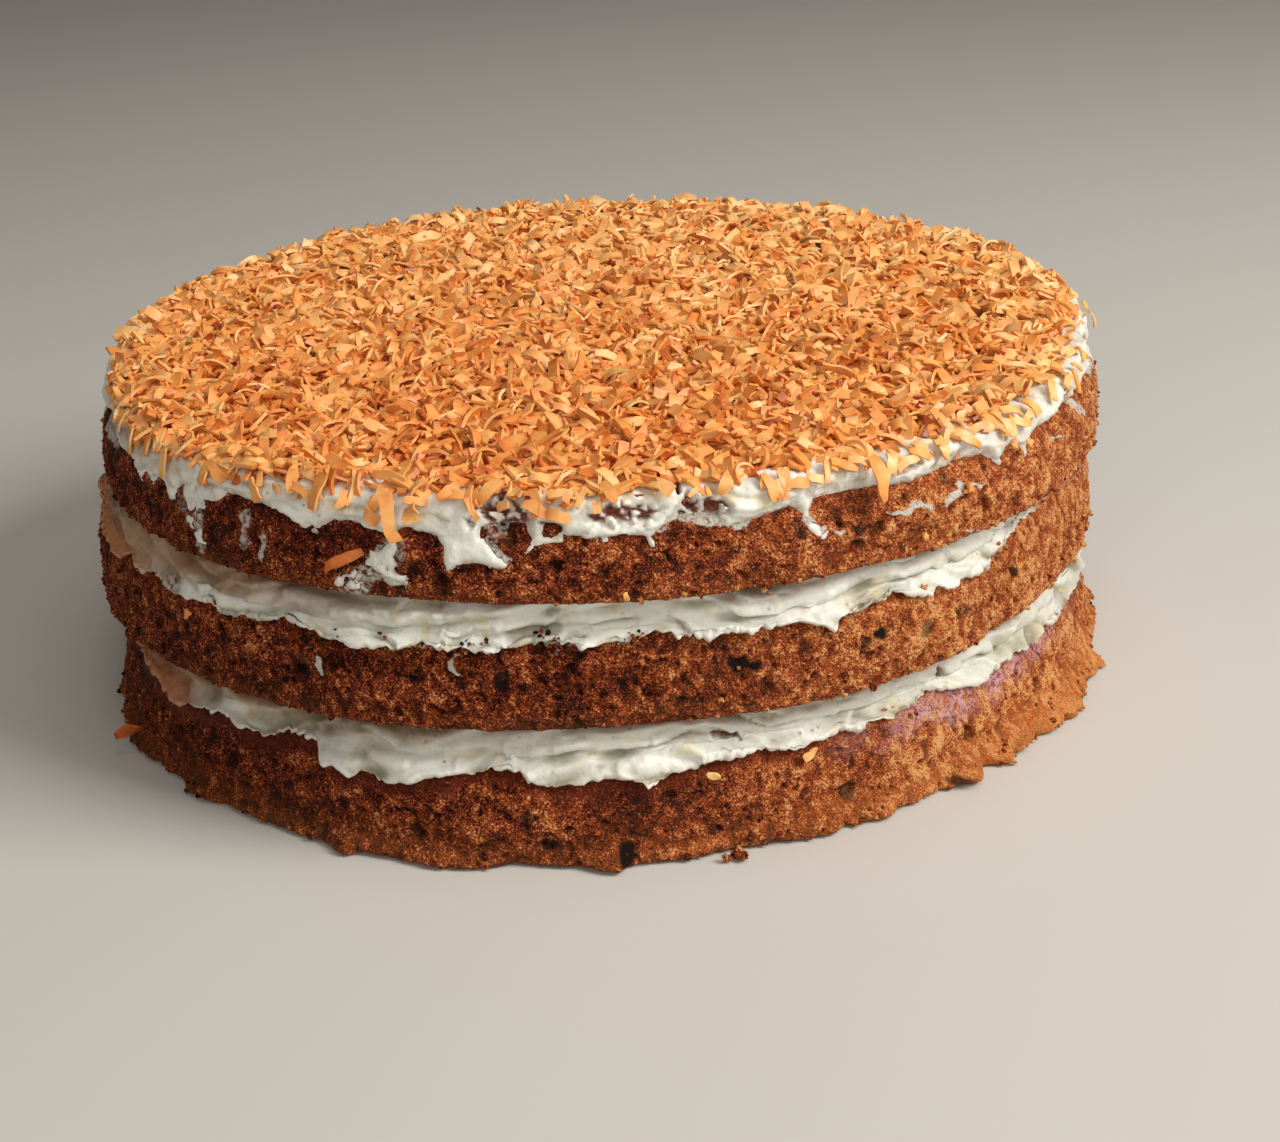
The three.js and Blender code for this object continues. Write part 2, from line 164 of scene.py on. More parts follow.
# the lower edge of the filling that folds down over the bottom sponge, under which the crumb is moist and
# painted darker as the hem's shade
LOWER_HEM = [
    (-151, 19), (-148, 18.6), (-145.5, 16.4), (-140, 18.6), (-135, 18.8), (-130, 18), (-126, 20.6),
    (-122.6, 19.8), (-121.4, 16.6), (-118, 15.9), (-115.5, 16), (-113.4, 15.6), (-112, 16.4), (-110, 17.8),
    (-106, 18.5), (-103, 19.6), (-100, 19), (-98.8, 17.2), (-97, 16.2), (-95.4, 16.6), (-92.5, 18),
    (-90, 18.6), (-89, 17.2), (-87.2, 16.2), (-86.2, 16.4), (-85, 17), (-81, 18.6), (-77, 19.6),
    (-74.6, 18.8), (-71.5, 17.8), (-68.4, 18.6), (-66, 19.6), (-62, 18.8), (-59, 18.2), (-56, 19.6),
    (-53, 20.2), (-51, 19), (-46.4, 18.4), (-42, 19), (-40, 19.2), (-36, 18.2), (-33, 18.4), (-31, 19.8),
    (-28, 19.6), (-22, 18.6), (-12, 17.4), (-4, 20), (6, 20.2), (14, 19.5), (20, 18.8), (27, 20),
    (36, 20.4), (45, 16.8), (54, 20), (66, 20.3), (78, 18.4), (90, 20), (103, 19.4), (110, 16.6),
    (117, 20), (130, 19.8), (137, 18.8), (146, 20.2), (158, 20.3), (168, 17.4), (176, 20), (188, 19.4),
    (200, 20.2),
]


def hashed(x, y, z, seed):
    """A number from 0 to 1 for each whole-numbered place."""
    mixed = (x * 374761393 + y * 668265263 + z * 974634777 + seed * 362437) & 0xFFFFFFFF
    mixed = ((mixed ^ (mixed >> 13)) * 1274126177) & 0xFFFFFFFF
    mixed = ((mixed ^ (mixed >> 15)) * 1103515245) & 0xFFFFFFFF
    return ((mixed ^ (mixed >> 16)) & 0xFFFFFF) / 0xFFFFFF


def neighbours(at, size, steps):
    """The grid of size mm that the points lie in: their place on it, and the corners round each in turn."""
    where = at / size
    corner = np.floor(where).astype(np.int64)
    around = [(dx, dy, dz) for dx in steps for dy in steps for dz in steps]
    return where, corner, around


def lumps(at, size, seed):
    """Soft rises and hollows about size mm apart, from -1 to 1."""
    where, corner, around = neighbours(at, size, (0, 1))
    share = where - corner
    share = share * share * (3 - 2 * share)
    total = np.zeros(len(at))
    for dx, dy, dz in around:
        weight = np.abs(1 - dx - share[:, 0]) * np.abs(1 - dy - share[:, 1]) * np.abs(1 - dz - share[:, 2])
        total += weight * hashed(corner[:, 0] + dx, corner[:, 1] + dy, corner[:, 2] + dz, seed)
    return 2 * total - 1


def cells(at, size, seed):
    """For grains or pores about size mm apart: how far off the nearest is, in sizes, and its number."""
    where, corner, around = neighbours(at, size, (-1, 0, 1))
    nearest = np.full(len(at), 9.0)
    number = np.zeros(len(at))
    for dx, dy, dz in around:
        x, y, z = corner[:, 0] + dx, corner[:, 1] + dy, corner[:, 2] + dz
        off = (x + hashed(x, y, z, seed) - where[:, 0]) ** 2
        off += (y + hashed(x, y, z, seed + 1) - where[:, 1]) ** 2
        off += (z + hashed(x, y, z, seed + 2) - where[:, 2]) ** 2
        closer = off < nearest
        nearest = np.where(closer, off, nearest)
        number = np.where(closer, hashed(x, y, z, seed + 3), number)
    return np.sqrt(nearest), number


def eased(value, low, high):
    """0 below low, 1 above high, and smooth between; low may be the higher one."""
    share = np.clip((value - low) / (high - low), 0, 1)
    return share * share * (3 - 2 * share)


def swell(distance, reach):
    """1 at the middle, falling smoothly to 0 at reach."""
    return np.where(np.abs(distance) < reach, 0.5 + 0.5 * np.cos(math.pi * distance / reach), 0)


def apart(angle, other):
    return (angle - other + 180) % 360 - 180


def mm_apart(angle, other):
    return apart(angle, other) * MM_PER_DEGREE


def off_oval(angle, height, middle, level, half_width, half_height):
    """How far off an oval's middle each point lies, where 1 is on the oval."""
    return np.hypot(mm_apart(angle, middle) / half_width, (height - level) / half_height)


def all_round(angle, table):
    """Reads a table of angles and values that runs right round the cake."""
    return np.interp(angle, *zip(*table), period=360)


def round_the_cake(angle, height, reach=SIDE_REACH):
    turn = np.radians(angle)
    return np.stack([reach * np.cos(turn), reach * np.sin(turn), height + 0 * turn], 1)


def outline(layer, angle):
    turn = np.radians(angle)
    return layer["radius"] + sum(rise * np.cos(count * turn + phase) for count, rise, phase in layer["waves"])


def share_up(layer, height):
    """How far up a sponge a height is, from 0 at its foot to 1 at its top."""
    return (height - layer["foot"]) / (layer["top"] - layer["foot"])


def layer_at(height):
    if height < LOWER_JOIN:
        return BOTTOM
    return MIDDLE if height < UPPER_JOIN else TOP


def side_reach(layer, angle, share):
    """The sponge's radius before its crumb is worked in."""
    reach = outline(layer, angle) - layer["taper"] * share - np.interp(share, SIDE_SHARES, SIDE_INSETS)
    if layer is BOTTOM:
        height = share * layer["top"]
        where = round_the_cake(angle, height)
        ragged = 0.9 + 0.5 * lumps(where, 6, 5) + 0.25 * lumps(where, 2.8, 6)
        reach += 1.3 * ragged * eased(height, 4, 0.4)
        for middle, half, far, high in FOOT_LOBES:
            reach += far * ragged * swell(apart(angle, middle), half) * eased(height, high, high * 0.25)
    return reach


def inside_strokes(angle, height, strokes):
    """How far inside the nearest stroke each point lies, in mm, and that stroke's last number."""
    deepest = np.full(len(angle), -9.0)
    value = np.zeros(len(angle))
    for a1, z1, a2, z2, half, *rest in strokes:
        along, rise = mm_apart(a2, a1), z2 - z1
        across, up = mm_apart(angle, a1), height - z1
        share = np.clip((across * along + up * rise) / (along * along + rise * rise + 1e-6), 0, 1)
        inside = half - np.hypot(across - share * along, up - share * rise)
        better = inside > deepest
        deepest = np.where(better, inside, deepest)
        value = np.where(better, rest[0] if rest else 1, value)
    return deepest, value


def slab(name, foot, top, columns, rows, rings=()):
    """A round slab as it comes out of the tin: its side is cut into rows, its flat faces into rings."""
    bpy.ops.object.select_all(action="DESELECT")
    middle = (0, 0, (foot + top) / 2 * MM)
    bpy.ops.mesh.primitive_cylinder_add(
        vertices=columns, radius=SIDE_REACH * MM, depth=(top - foot) * MM, location=middle
    )
    piece = bpy.context.object
    piece.name = piece.data.name = name
    bpy.ops.object.transform_apply(location=True)
    bpy.ops.object.mode_set(mode="EDIT")
    bpy.ops.mesh.select_mode(type="EDGE")
    bpy.ops.mesh.select_all(action="DESELECT")
    bpy.ops.object.mode_set(mode="OBJECT")
    heights = vertices_of(piece)[:, 2]
    ends = np.zeros(len(piece.data.edges) * 2, np.int32)
    piece.data.edges.foreach_get("vertices", ends)
    piece.data.edges.foreach_set("select", np.ptp(heights[ends.reshape(-1, 2)], axis=1) > 0)
    bpy.ops.object.mode_set(mode="EDIT")
    bpy.ops.mesh.subdivide(number_cuts=rows - 1)
    bpy.ops.mesh.select_mode(type="FACE")
    bpy.ops.mesh.select_all(action="DESELECT")
    bpy.ops.object.mode_set(mode="OBJECT")
    normals = np.zeros(len(piece.data.polygons) * 3, np.float32)
    piece.data.polygons.foreach_get("normal", normals)
    piece.data.polygons.foreach_set("select", np.abs(normals.reshape(-1, 3)[:, 2]) > 0.9)
    bpy.ops.object.mode_set(mode="EDIT")
    for width in rings:
        bpy.ops.mesh.inset(thickness=width * MM)
    bpy.ops.mesh.poke()
    bpy.ops.object.mode_set(mode="OBJECT")
    return piece


def vertices_of(piece):
    """The piece's vertices in mm, one row each."""
    flat = np.zeros(len(piece.data.vertices) * 3)
    piece.data.vertices.foreach_get("co", flat)
    return flat.reshape(-1, 3) / MM


def measured(piece):
    """A slab's vertices in mm, their angles, how far out they are, and which are on its side."""
    at = vertices_of(piece)
    reach = np.hypot(at[:, 0], at[:, 1])
    return at, np.degrees(np.arctan2(at[:, 1], at[:, 0])), reach, reach > SIDE_REACH - 1


def reshape(piece, at, old_reach, reach, height):
    """Moves each vertex straight out or in to its new reach, and to its new height."""
    scale = reach / old_reach.clip(1e-6)
    moved = np.stack([at[:, 0] * scale, at[:, 1] * scale, height], 1)
    piece.data.vertices.foreach_set("co", (moved * MM).ravel())
    piece.data.update()


def mark(piece, share=1, **values):
    """Numbers at each vertex, which the finish reads by name, each times the share."""
    for name, value in values.items():
        attribute = piece.data.attributes.new(name, "FLOAT", "POINT")
        attribute.data.foreach_set("value", np.asarray(value * share, np.float32))


def crumb_relief(at, seed):
    """How far the crumb stands out of the sponge's side in mm, and how light it is from 0 to 1, with painted
    shade in its pores and pits.
    """
    warped = at + 0.9 * np.stack([lumps(at, 2.2, seed + 40 + axis) for axis in range(3)], 1)
    broad = 0.5 * lumps(at, 13, seed + 3) + 0.6 * lumps(at, 6, seed) + 0.5 * lumps(at, 3, seed + 1)
    granule, _ = cells(warped, 1.1, seed + 2)
    granule = 1 - np.clip(granule / 0.75, 0, 1) ** 2
    clot, _ = cells(warped * (1, 1, 0.9), 2.3, seed + 18)
    clot = 1 - np.clip(clot / 0.8, 0, 1) ** 2
    pore_off, pore_kind = cells(warped * (1, 1, 0.85), 2.1, seed + 6)
    pore = eased(pore_off, 0.4, 0.12) * eased(pore_kind, 0.35, 0.7)
    pit_off, pit_kind = cells(warped, 7, seed + 10)
    pit = eased(pit_off, 0.28, 0.14) * (pit_kind > 0.8)
    grit = lumps(at, 0.7, seed + 14)
    out = 0.6 * broad + 0.25 * granule + 0.4 * clot - 0.35 - 0.8 * pore - 1.3 * pit + 0.25 * grit
    light = 0.5 + 0.13 * broad + 0.2 * (granule - 0.45) + 0.26 * (clot - 0.5)
    # painted shade: pores and pits are darker
    light = light - 0.42 * pore - 0.3 * pit + 0.1 * grit
    return out, np.clip(light, 0, 1)


def sponge(layer):
    name, seed, foot, top = layer["name"], layer["seed"], layer["foot"], layer["top"]
    piece = slab(name + "_crumb", foot, top, SPONGE_COLUMNS, SPONGE_ROWS, SPONGE_RINGS)
    at, angle, old_reach, on_side = measured(piece)
    share = share_up(layer, at[:, 2])
    where = round_the_cake(angle, at[:, 2])
    out, light = crumb_relief(where, seed)
    warp = 0.9 * lumps(where, 2.2, seed + 20), 0.9 * lumps(where, 2.2, seed + 21)
    loose_angle = angle + warp[0] / MM_PER_DEGREE
    loose_height = at[:, 2] + warp[1]

    # dark bits, mounds of crumb, and the moist crumb under the lower filling, painted darker as the shade
    # under its hem
    luck = np.random.default_rng(seed)
    bits = list(DARK_BITS[name])
    for _ in range(UNSEEN_BITS):
        bits.append((
            luck.uniform(-20, 210), foot + luck.uniform(0.1, 0.85) * (top - foot), luck.uniform(0.9, 2.4),
            luck.uniform(0.9, 2.2), luck.uniform(0.4, 1),
        ))
    dark = np.zeros(len(at))
    for *oval, depth in bits:
        dark = np.maximum(dark, depth * eased(off_oval(loose_angle, loose_height, *oval), 1.25, 0.7))
    for *oval, rise in CRUMB_MOUNDS[name]:
        mound = np.sqrt(1 - np.clip(off_oval(loose_angle, loose_height, *oval), 0, 1) ** 2)
        out += rise * mound
        light = np.clip(light + 0.1 * mound, 0, 1)
    wet = 0 * light
    if layer is BOTTOM:
        below_hem = all_round(angle, LOWER_HEM) - at[:, 2] + 1.2 * lumps(where, 5, 70)
        wet = eased(below_hem, 4.2, 2) * (1 - 0.75 * eased(np.abs(apart(angle, -42)), 30, 15))
        out *= 1 - 0.75 * wet
        light = light + (0.42 - light) * 0.8 * wet

    # the film of frosting wiped on the crumb
    smeared_angle = loose_angle + 0.5 * lumps(where, 0.9, seed + 24) / MM_PER_DEGREE
    smear, strength = inside_strokes(smeared_angle, loose_height, CRUMB_SMEARS[name])
    film = eased(smear + 0.3 * out, -0.5, 0.6) * strength
    if layer is TOP:
        film = np.maximum(film, 0.35 * eased(loose_height - all_round(loose_angle, DRIP_EDGE), -1.4, 0.6))
        film *= 1 - 0.6 * swell(apart(angle, -147), 14)

    out = (out - 0.5 * dark) * (1 - 0.75 * share ** 5) * (1 - 0.6 * film) + 0.35 * film
    reach = np.where(on_side, side_reach(layer, angle, share) + out, old_reach * SPONGE_FLAT)
    at_foot = on_side & (share <= 0)
    sway = 0.5 * lumps(where, 2, seed + 30) * np.sin(math.pi * share) * on_side
    height = at[:, 2] + (sway + np.where(at_foot, 0.25 + 0.25 * lumps(where, 1.5, seed + 31), 0))
    reshape(piece, at, old_reach, reach, height)

    # how dry the crumb is, with painted light on the lit right and painted shade on the left, for the finish
    dry = all_round(angle + 5 * lumps(where, 14, seed + 33), DRY_SIDE)
    # the foot's crust is lighter, with painted light making it lighter still on the lit right
    foot_light = 0.12 * eased(share, 0.3, 0.02) + 0.2 * np.clip(dry, 0, 1)
    # painted reflection: a pale violet sheen on the moist shoulder of the bottom sponge, at the right under
    # the filling
    speckle = np.zeros(len(at))
    if layer is BOTTOM:
        speckle = eased(below_hem + 1.6 * lumps(where, 4, 71), 8, 3)
        speckle *= eased(np.abs(apart(angle, -43)), 26, 12)
        speckle *= 0.55 + 0.75 * lumps(where, 5, 72)
        # painted light: the bottom sponge's foot is lighter where the light falls on the right
        foot_light += 0.75 * eased(share, 0.5, 0.1) * (0.15 + swell(apart(angle, -30), 42))
    if layer is MIDDLE:
        light_patch = eased(share, 0.6, 0.9) * eased(lumps(where, 9, seed + 35), -0.2, 0.5)
        dry += 0.35 * light_patch - 0.12 * eased(share, 0.4, 0)
        dust = eased(height + lumps(where, 4, seed + 36), 43.4, 46.4)
        dust *= eased(lumps(where, 1.2, seed + 37), 0.15, 0.5)
        film = np.maximum(film, 0.65 * dust * swell(apart(angle, -102), 34))
    if layer is TOP:
        dry = 0.85 * dry - 0.14
    mark(piece, wet=wet, speckle=speckle, foot_light=foot_light, dry=dry)
    mark(piece, relief=np.where(on_side, light, 0.5))
    mark(piece, on_side, dark_bit=dark, film=film)
    piece.data.materials.append(carrot_crumb)
    bpy.ops.object.shade_smooth()
    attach(piece, "root")
    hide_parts(layer["name"])


class Reading:
    """A value in a finish. Python's own signs between readings and numbers add the Math nodes."""

    def __init__(self, finish, socket):
        self.finish = finish
        self.socket = socket

    def sum_of(self, operation, first, second, clamp=False):
        settings = {"operation": operation, "use_clamp": clamp}
        return self.finish.node("ShaderNodeMath", settings, {0: first, 1: second})

    def __add__(self, other):
        return self.sum_of("ADD", self, other)

    def __sub__(self, other):
        return self.sum_of("SUBTRACT", self, other)

    def __rsub__(self, other):
        return self.sum_of("SUBTRACT", other, self)

    def __mul__(self, other):
        return self.sum_of("MULTIPLY", self, other)

    __radd__ = __add__
    __rmul__ = __mul__

    def clamped(self):
        return self.sum_of("ADD", self, 0, True)

    def eased(self, low, high):
        sockets = {"Value": self, "From Min": low, "From Max": high}
        return self.finish.node("ShaderNodeMapRange", {"interpolation_type": "SMOOTHSTEP"}, sockets)


def paint(red, green, blue):
    """A colour as it looks on a screen, 0 to 255 each, in the numbers that a shader takes."""
    shares = [value / 255 for value in (red, green, blue)]
    return (*[s / 12.92 if s < 0.04045 else ((s + 0.055) / 1.055) ** 2.4 for s in shares], 1)


class Finish:
    """One surface finish as a node material."""

    def __init__(self, name):
        self.material = bpy.data.materials.new(name)
        self.material.use_nodes = True
        self.tree = self.material.node_tree
        self.tree.nodes.clear()

    def node(self, kind, settings=None, sockets=None, output=0):
        made = self.tree.nodes.new(kind)
        for name, value in (settings or {}).items():
            setattr(made, name, value)
        for name, value in (sockets or {}).items():
            if isinstance(value, Reading):
                self.tree.links.new(value.socket, made.inputs[name])
            else:
                made.inputs[name].default_value = value
        return Reading(self, made.outputs[output])

    def place(self):
        return self.node("ShaderNodeTexCoord", output="Object")

    def marked(self, name):
        return self.node("ShaderNodeAttribute", {"attribute_name": name}, output="Fac")

    def noise(self, size, detail=2, roughness=0.5, tall=1):
        where = self.place()
        if tall != 1:
            where = self.node("ShaderNodeMapping", {}, {"Vector": where, "Scale": (1, 1, 1 / tall)})
        sockets = {"Vector": where, "Scale": 1 / (size * MM), "Detail": detail, "Roughness": roughness}
        return self.node("ShaderNodeTexNoise", {}, sockets)

    def mottle(self, much, *noise):
        """Noise that swings by half of much to either side of 0."""
        return (self.noise(*noise) - 0.5) * much

    def grains(self, size):
        sockets = {"Vector": self.place(), "Scale": 1 / (size * MM)}
        return self.node("ShaderNodeTexVoronoi", {}, sockets, "Distance")

    def ramp(self, value, *stops):
        """Colours by value; each stop is its place and its red, green and blue."""
        made = self.node("ShaderNodeValToRGB", {}, {"Fac": value})
        ramp = made.socket.node.color_ramp.elements
        while len(ramp) < len(stops):
            ramp.new(0.5)
        for stop, (place, *colour) in zip(ramp, stops):
            stop.position = place
            stop.color = paint(*colour)
        return made

    def mix(self, factor, first, second, blend="MIX"):
        settings = {"data_type": "RGBA", "blend_type": blend}
        return self.node("ShaderNodeMix", settings, {0: factor, 6: first, 7: second}, 2)

    def over(self, colour, *coats):
        """Lays coats over a colour one by one; each is how much, then its colour."""
        for much, *tint in coats:
            colour = self.mix(much, colour, tint[0] if len(tint) == 1 else paint(*tint))
        return colour

    def bump(self, height, distance, strength=1.0):
        sockets = {"Strength": strength, "Distance": distance * MM, "Height": height}
        return self.node("ShaderNodeBump", {}, sockets)

    def done(self, **sockets):
        named = {name.replace("_", " "): value for name, value in sockets.items()}
        shader = self.node("ShaderNodeBsdfPrincipled", {}, named)
        end = self.tree.nodes.new("ShaderNodeOutputMaterial")
        self.tree.links.new(shader.socket, end.inputs["Surface"])
        return self.material


crumb = Finish("carrot_sponge")
grit = crumb.noise(0.42, 3, 0.68)
grain = 1 - crumb.grains(0.6)
# painted light and shade: the crumb is lighter on the cake's lit right and darker on its shaded left
dry = crumb.marked("dry")
# the moist crumb under the lower filling, painted darker as shade; it is also glossier
moist = crumb.marked("wet")
film = crumb.marked("film")
speckle = crumb.marked("speckle")
clumps = crumb.mottle(0.92 + dry * 0.25, 2.6, 3, 0.62, 1.25)
light = crumb.marked("relief") * 1.1 + (grit - 0.5) * (2.6 - dry * 0.7) + (grain - 0.5) * 0.2 + clumps
light = light + crumb.mottle(0.45, 9, 2) + dry * 0.28 - 0.2
# painted highlights: small bright glints on the crumb, more on the lit right
glint = crumb.noise(0.45, 2, 0.6).eased(0.6, 0.68) * (dry * 0.25 + 0.25).clamped()
shred = crumb.noise(3.2, 1).eased(0.6, 0.68) * crumb.noise(1.1, 1).eased(0.4, 0.6)
# painted reflection: violet flecks of sheen under the lower filling at the right
sparkle = crumb.noise(1, 3, 0.7).eased(0.42, 0.56) * speckle
wiped = (film * 1.25 + crumb.mottle(1.4, 1.2, 4, 0.65) - 0.2).eased(0.25, 0.65)
crumb_colour = crumb.over(
    crumb.ramp(
        light.clamped(), (0, 36, 7, 3), (0.22, 84, 22, 7), (0.46, 146, 54, 20), (0.68, 202, 103, 52),
        (0.9, 252, 188, 120),
    ),
    (glint, 250, 186, 112),
    (crumb.marked("foot_light") * 0.55, 232, 146, 76),
    (shred * (dry * 0.25 + 0.35), 206, 96, 30),
    (crumb.marked("dark_bit").clamped(), 30, 15, 12),
    (moist * 0.5, 110, 36, 14),
    (speckle * 0.3, 186, 116, 106),
    ((sparkle * 0.95).clamped(), 240, 194, 212),
    (wiped, 228, 225, 212),
)
carrot_crumb = crumb.done(
    Base_Color=crumb_colour,
    Roughness=0.78 - moist * 0.38 - film * 0.2,
    Normal=crumb.bump(grit + grain * 0.4, 1, 1),
    Specular_IOR_Level=0.18,
    Subsurface_Weight=0.06,
    Subsurface_Scale=0.002,
)

for layer in (BOTTOM, MIDDLE, TOP):
    sponge(layer)

# The two cream cheese fillings, spread with a palette knife to the edge of the sponge below and pressed out
# by the one above, so that each folds down over the shoulder in soft lobes. They run through the whole cake.
FILLING_COLUMNS = 1440
FILLING_ROWS = 44
FILLING_RINGS = (16, 25)
FILLING_FLAT = 0.93
# how far below the sponge's top a filling's slab starts, in mm
FILLING_OVERLAP = 4
# how many strokes of the knife each has on its far side
UNSEEN_STROKES = 60
# the lower edge of the upper filling: angle and height, all the way round
UPPER_HEM = [
    (-153, 46.4), (-150, 47.6), (-145, 47.4), (-141, 47.2), (-137, 46), (-133.5, 47.4), (-130.8, 46.6),
    (-128, 47.2), (-120, 47.8), (-118.6, 46.8), (-115, 46.2), (-112.4, 47), (-110.6, 46.2), (-108.8, 47.4),
    (-105, 47.3), (-103, 46.6), (-100.6, 46.8), (-98, 48.4), (-95.4, 48), (-93, 46.6), (-91, 46.9),
    (-89.4, 47.6), (-86, 48.2), (-83, 47.4), (-80, 46.4), (-76, 47), (-73, 46.8), (-70, 46), (-68, 44.8),
    (-66.6, 46), (-64.8, 47.2), (-60, 47.6), (-56, 45.8), (-52, 45.2), (-49, 45.6), (-45, 46), (-41, 47.4),
    (-37, 48.4), (-33, 48.6), (-28, 48.6), (-22, 47.6), (-14, 48), (-4, 47.6), (6, 45), (14, 47.6),
    (24, 47.8), (33, 46.2), (44, 48), (54, 47.6), (62, 44.6), (70, 47.6), (84, 47.8), (96, 46),
    (108, 47.8), (117, 47.2), (124, 44.8), (131, 47.6), (145, 48), (155, 46.3), (166, 48), (180, 47.4),
    (194, 48), (203, 46.4),
]
# ridges and hollows that the knife left: angle and height at both ends, half width and rise in mm
LOWER_KNIFE = [
    (-115.5, 20.4, -100, 26.2, 1.5, 0.9), (-112, 24, -97, 27.6, 1.2, 0.6),
    (-121.4, 18, -112, 19.2, 1.7, 0.7), (-123, 22.6, -120.6, 25.6, 1.3, 0.7),
    (-101.6, 23.2, -100.6, 21.6, 0.8, 1), (-99, 19, -93, 20.6, 1.6, 0.8),
    (-106, 20.6, -94, 24.2, 1.4, 0.7), (-96.5, 23, -82, 27.4, 1.4, 0.7),
    (-90, 19.4, -78.6, 22.4, 1.6, 0.9), (-88.4, 18.6, -85.6, 18.4, 1.3, 0.8),
    (-86, 24, -81, 26.6, 1.1, 0.8), (-77.6, 21.6, -70, 21, 1.4, 0.7), (-76, 25.6, -66, 23, 1.5, 0.6),
    (-71, 27.6, -58, 24.4, 1.5, 0.8), (-66, 23, -58, 22.6, 1.6, 0.8), (-62.5, 25.8, -55, 27, 1.3, 0.7),
    (-58, 24.4, -52, 25.6, 1.4, 0.6), (-50, 25.6, -42, 22.8, 1.4, 0.9), (-48, 27.4, -40, 25, 1.3, 0.8),
    (-137, 21, -133, 23, 1.8, 0.6), (-131, 23.2, -129, 23, 1.4, 0.9), (-39.6, 24.6, -33, 25, 4, 2.2),
    (-118, 26, -108, 27.2, 1.4, -0.6), (-95, 27.6, -80, 28.6, 1.4, -0.7),
]
UPPER_KNIFE = [
    (-118, 52, -107, 52.6, 1.9, 1.2), (-107, 52.4, -97, 55.2, 1.6, 1.2), (-97, 55.4, -84, 56, 1.5, 1.2),
    (-106, 49.4, -97, 52.4, 1.6, 0.9), (-104, 54.4, -86, 56, 2.2, 0.8),
    (-126, 54.2, -107, 54.8, 1.4, -1.2), (-112, 48.2, -100.6, 49.6, 1.3, 0.6),
    (-101, 50.6, -90, 52.6, 1.4, 0.7), (-94, 48.6, -86, 49.4, 1.5, 0.6), (-92, 51.6, -84, 54.6, 1.4, 0.6),
    (-82.6, 55.4, -80.6, 56, 2.3, 2.2), (-80, 52, -70, 49.6, 1.5, 0.7), (-78, 54.4, -71, 54.6, 1.6, -0.7),
    (-70.4, 49.4, -66, 51.6, 1.5, 0.9), (-69, 47, -66.6, 47.8, 1.4, 0.8), (-67, 53, -58, 53.8, 1.4, 0.6),
    (-62, 50.8, -50, 52, 1.5, 0.8), (-56, 49, -45, 50.8, 1.4, 0.7), (-47, 52.4, -38, 52.8, 1.2, 0.6),
    (-45, 49.4, -38, 51, 1.3, 0.6), (-58.6, 47.6, -56.4, 46.6, 0.9, 0.6),
    (-136, 48.4, -124, 49.6, 1.7, 0.6), (-123, 48.6, -116, 50.4, 1.4, 0.8),
    (-133.2, 50.1, -132.4, 50.3, 2.3, 1.2), (-128.2, 50.6, -127.4, 51, 2.2, 1.2),
    (-124.8, 52.4, -122.4, 51.6, 1.5, 0.9),
]
# where it tore open on the crumb behind: angle and height at both ends, half width in mm
LOWER_TORN = [
    (-79.8, 23.4, -78.8, 22.8, 0.3), (-78.9, 22.6, -77.6, 22.2, 0.55), (-51.4, 23.8, -50.8, 22.4, 0.6),
    (44, 24, 46, 23, 0.5), (131, 25, 132, 23.4, 0.6),
]
UPPER_TORN = [
    (-97, 49.4, -96.8, 49.5, 0.1), (-94, 48.6, -92.8, 48.4, -0.15), (61, 50, 62, 49, 0.5),
    (-170, 51, -169, 50, 0.6),
]
# where a filling was squeezed out further: middle angle, half width, at its lip and at its top in mm
LOWER_FULL = [(-29, 12, 1.2, 0)]
UPPER_FULL = [(-105, 28, 2.4, 0.8), (-54, 24, 0, 1.8), (118, 30, 1, 2)]
# crumb rubbed into the filling: middle angle, half width in degrees, how much, slant in degrees for each mm
LOWER_STAINS = [(-166, 23, 0.5, -0.9), (150, 14, 0.6, 0), (62, 9, 0.5, 0)]
UPPER_STAINS = [(-172, 25, 0.5, -0.7), (-20, 10, 1.2, 0.6), (108, 13, 0.7, 0), (20, 8, 0.4, 0)]


def along(profile, share):
    """Runs a smooth curve through a profile's points, which differ for each vertex, as share goes 0 to 1."""
    last = len(profile) - 1
    place = np.clip(share, 0, 1) * last
    start = np.minimum(place.astype(int), last - 1)
    part = place - start
    index = np.arange(len(share))
    before, first, second, after = (
        profile[np.clip(start + step, 0, last), index] for step in (-1, 0, 1, 2)
    )
    return 0.5 * (
        2 * first + (second - before) * part + (2 * before - 5 * first + 4 * second - after) * part ** 2
        + (3 * first - before - 3 * second + after) * part ** 3
    )


def follow(heights, reaches, share, step=0.01):
    """Goes down a layer's profile: its height and reach at each share, and which way it faces, out and up."""
    rise = along(heights, share + step) - along(heights, share - step)
    run = along(reaches, share + step) - along(reaches, share - step)
    length = np.hypot(rise, run).clip(1e-6)
    return along(heights, share), along(reaches, share), rise / length, -run / length


def streaks(where, lean, long, high, seed):
    """Lumps drawn out long mm along the knife's strokes and high mm across them."""
    return lumps(np.stack([where[:, 0] / long, where[:, 1] / long, lean / high], 1), 1, seed)


def folds(where, lean, high, size, sharp, seed):
    """Laps of soft cream high mm tall, one over the other: 1 at a lap's brim, falling to 0 at the next."""
    fold = lean / high + 0.9 * lumps(where, size, seed)
    fold = fold - np.floor(fold)
    return (1 - fold) ** 0.8 * eased(fold, 0, sharp)


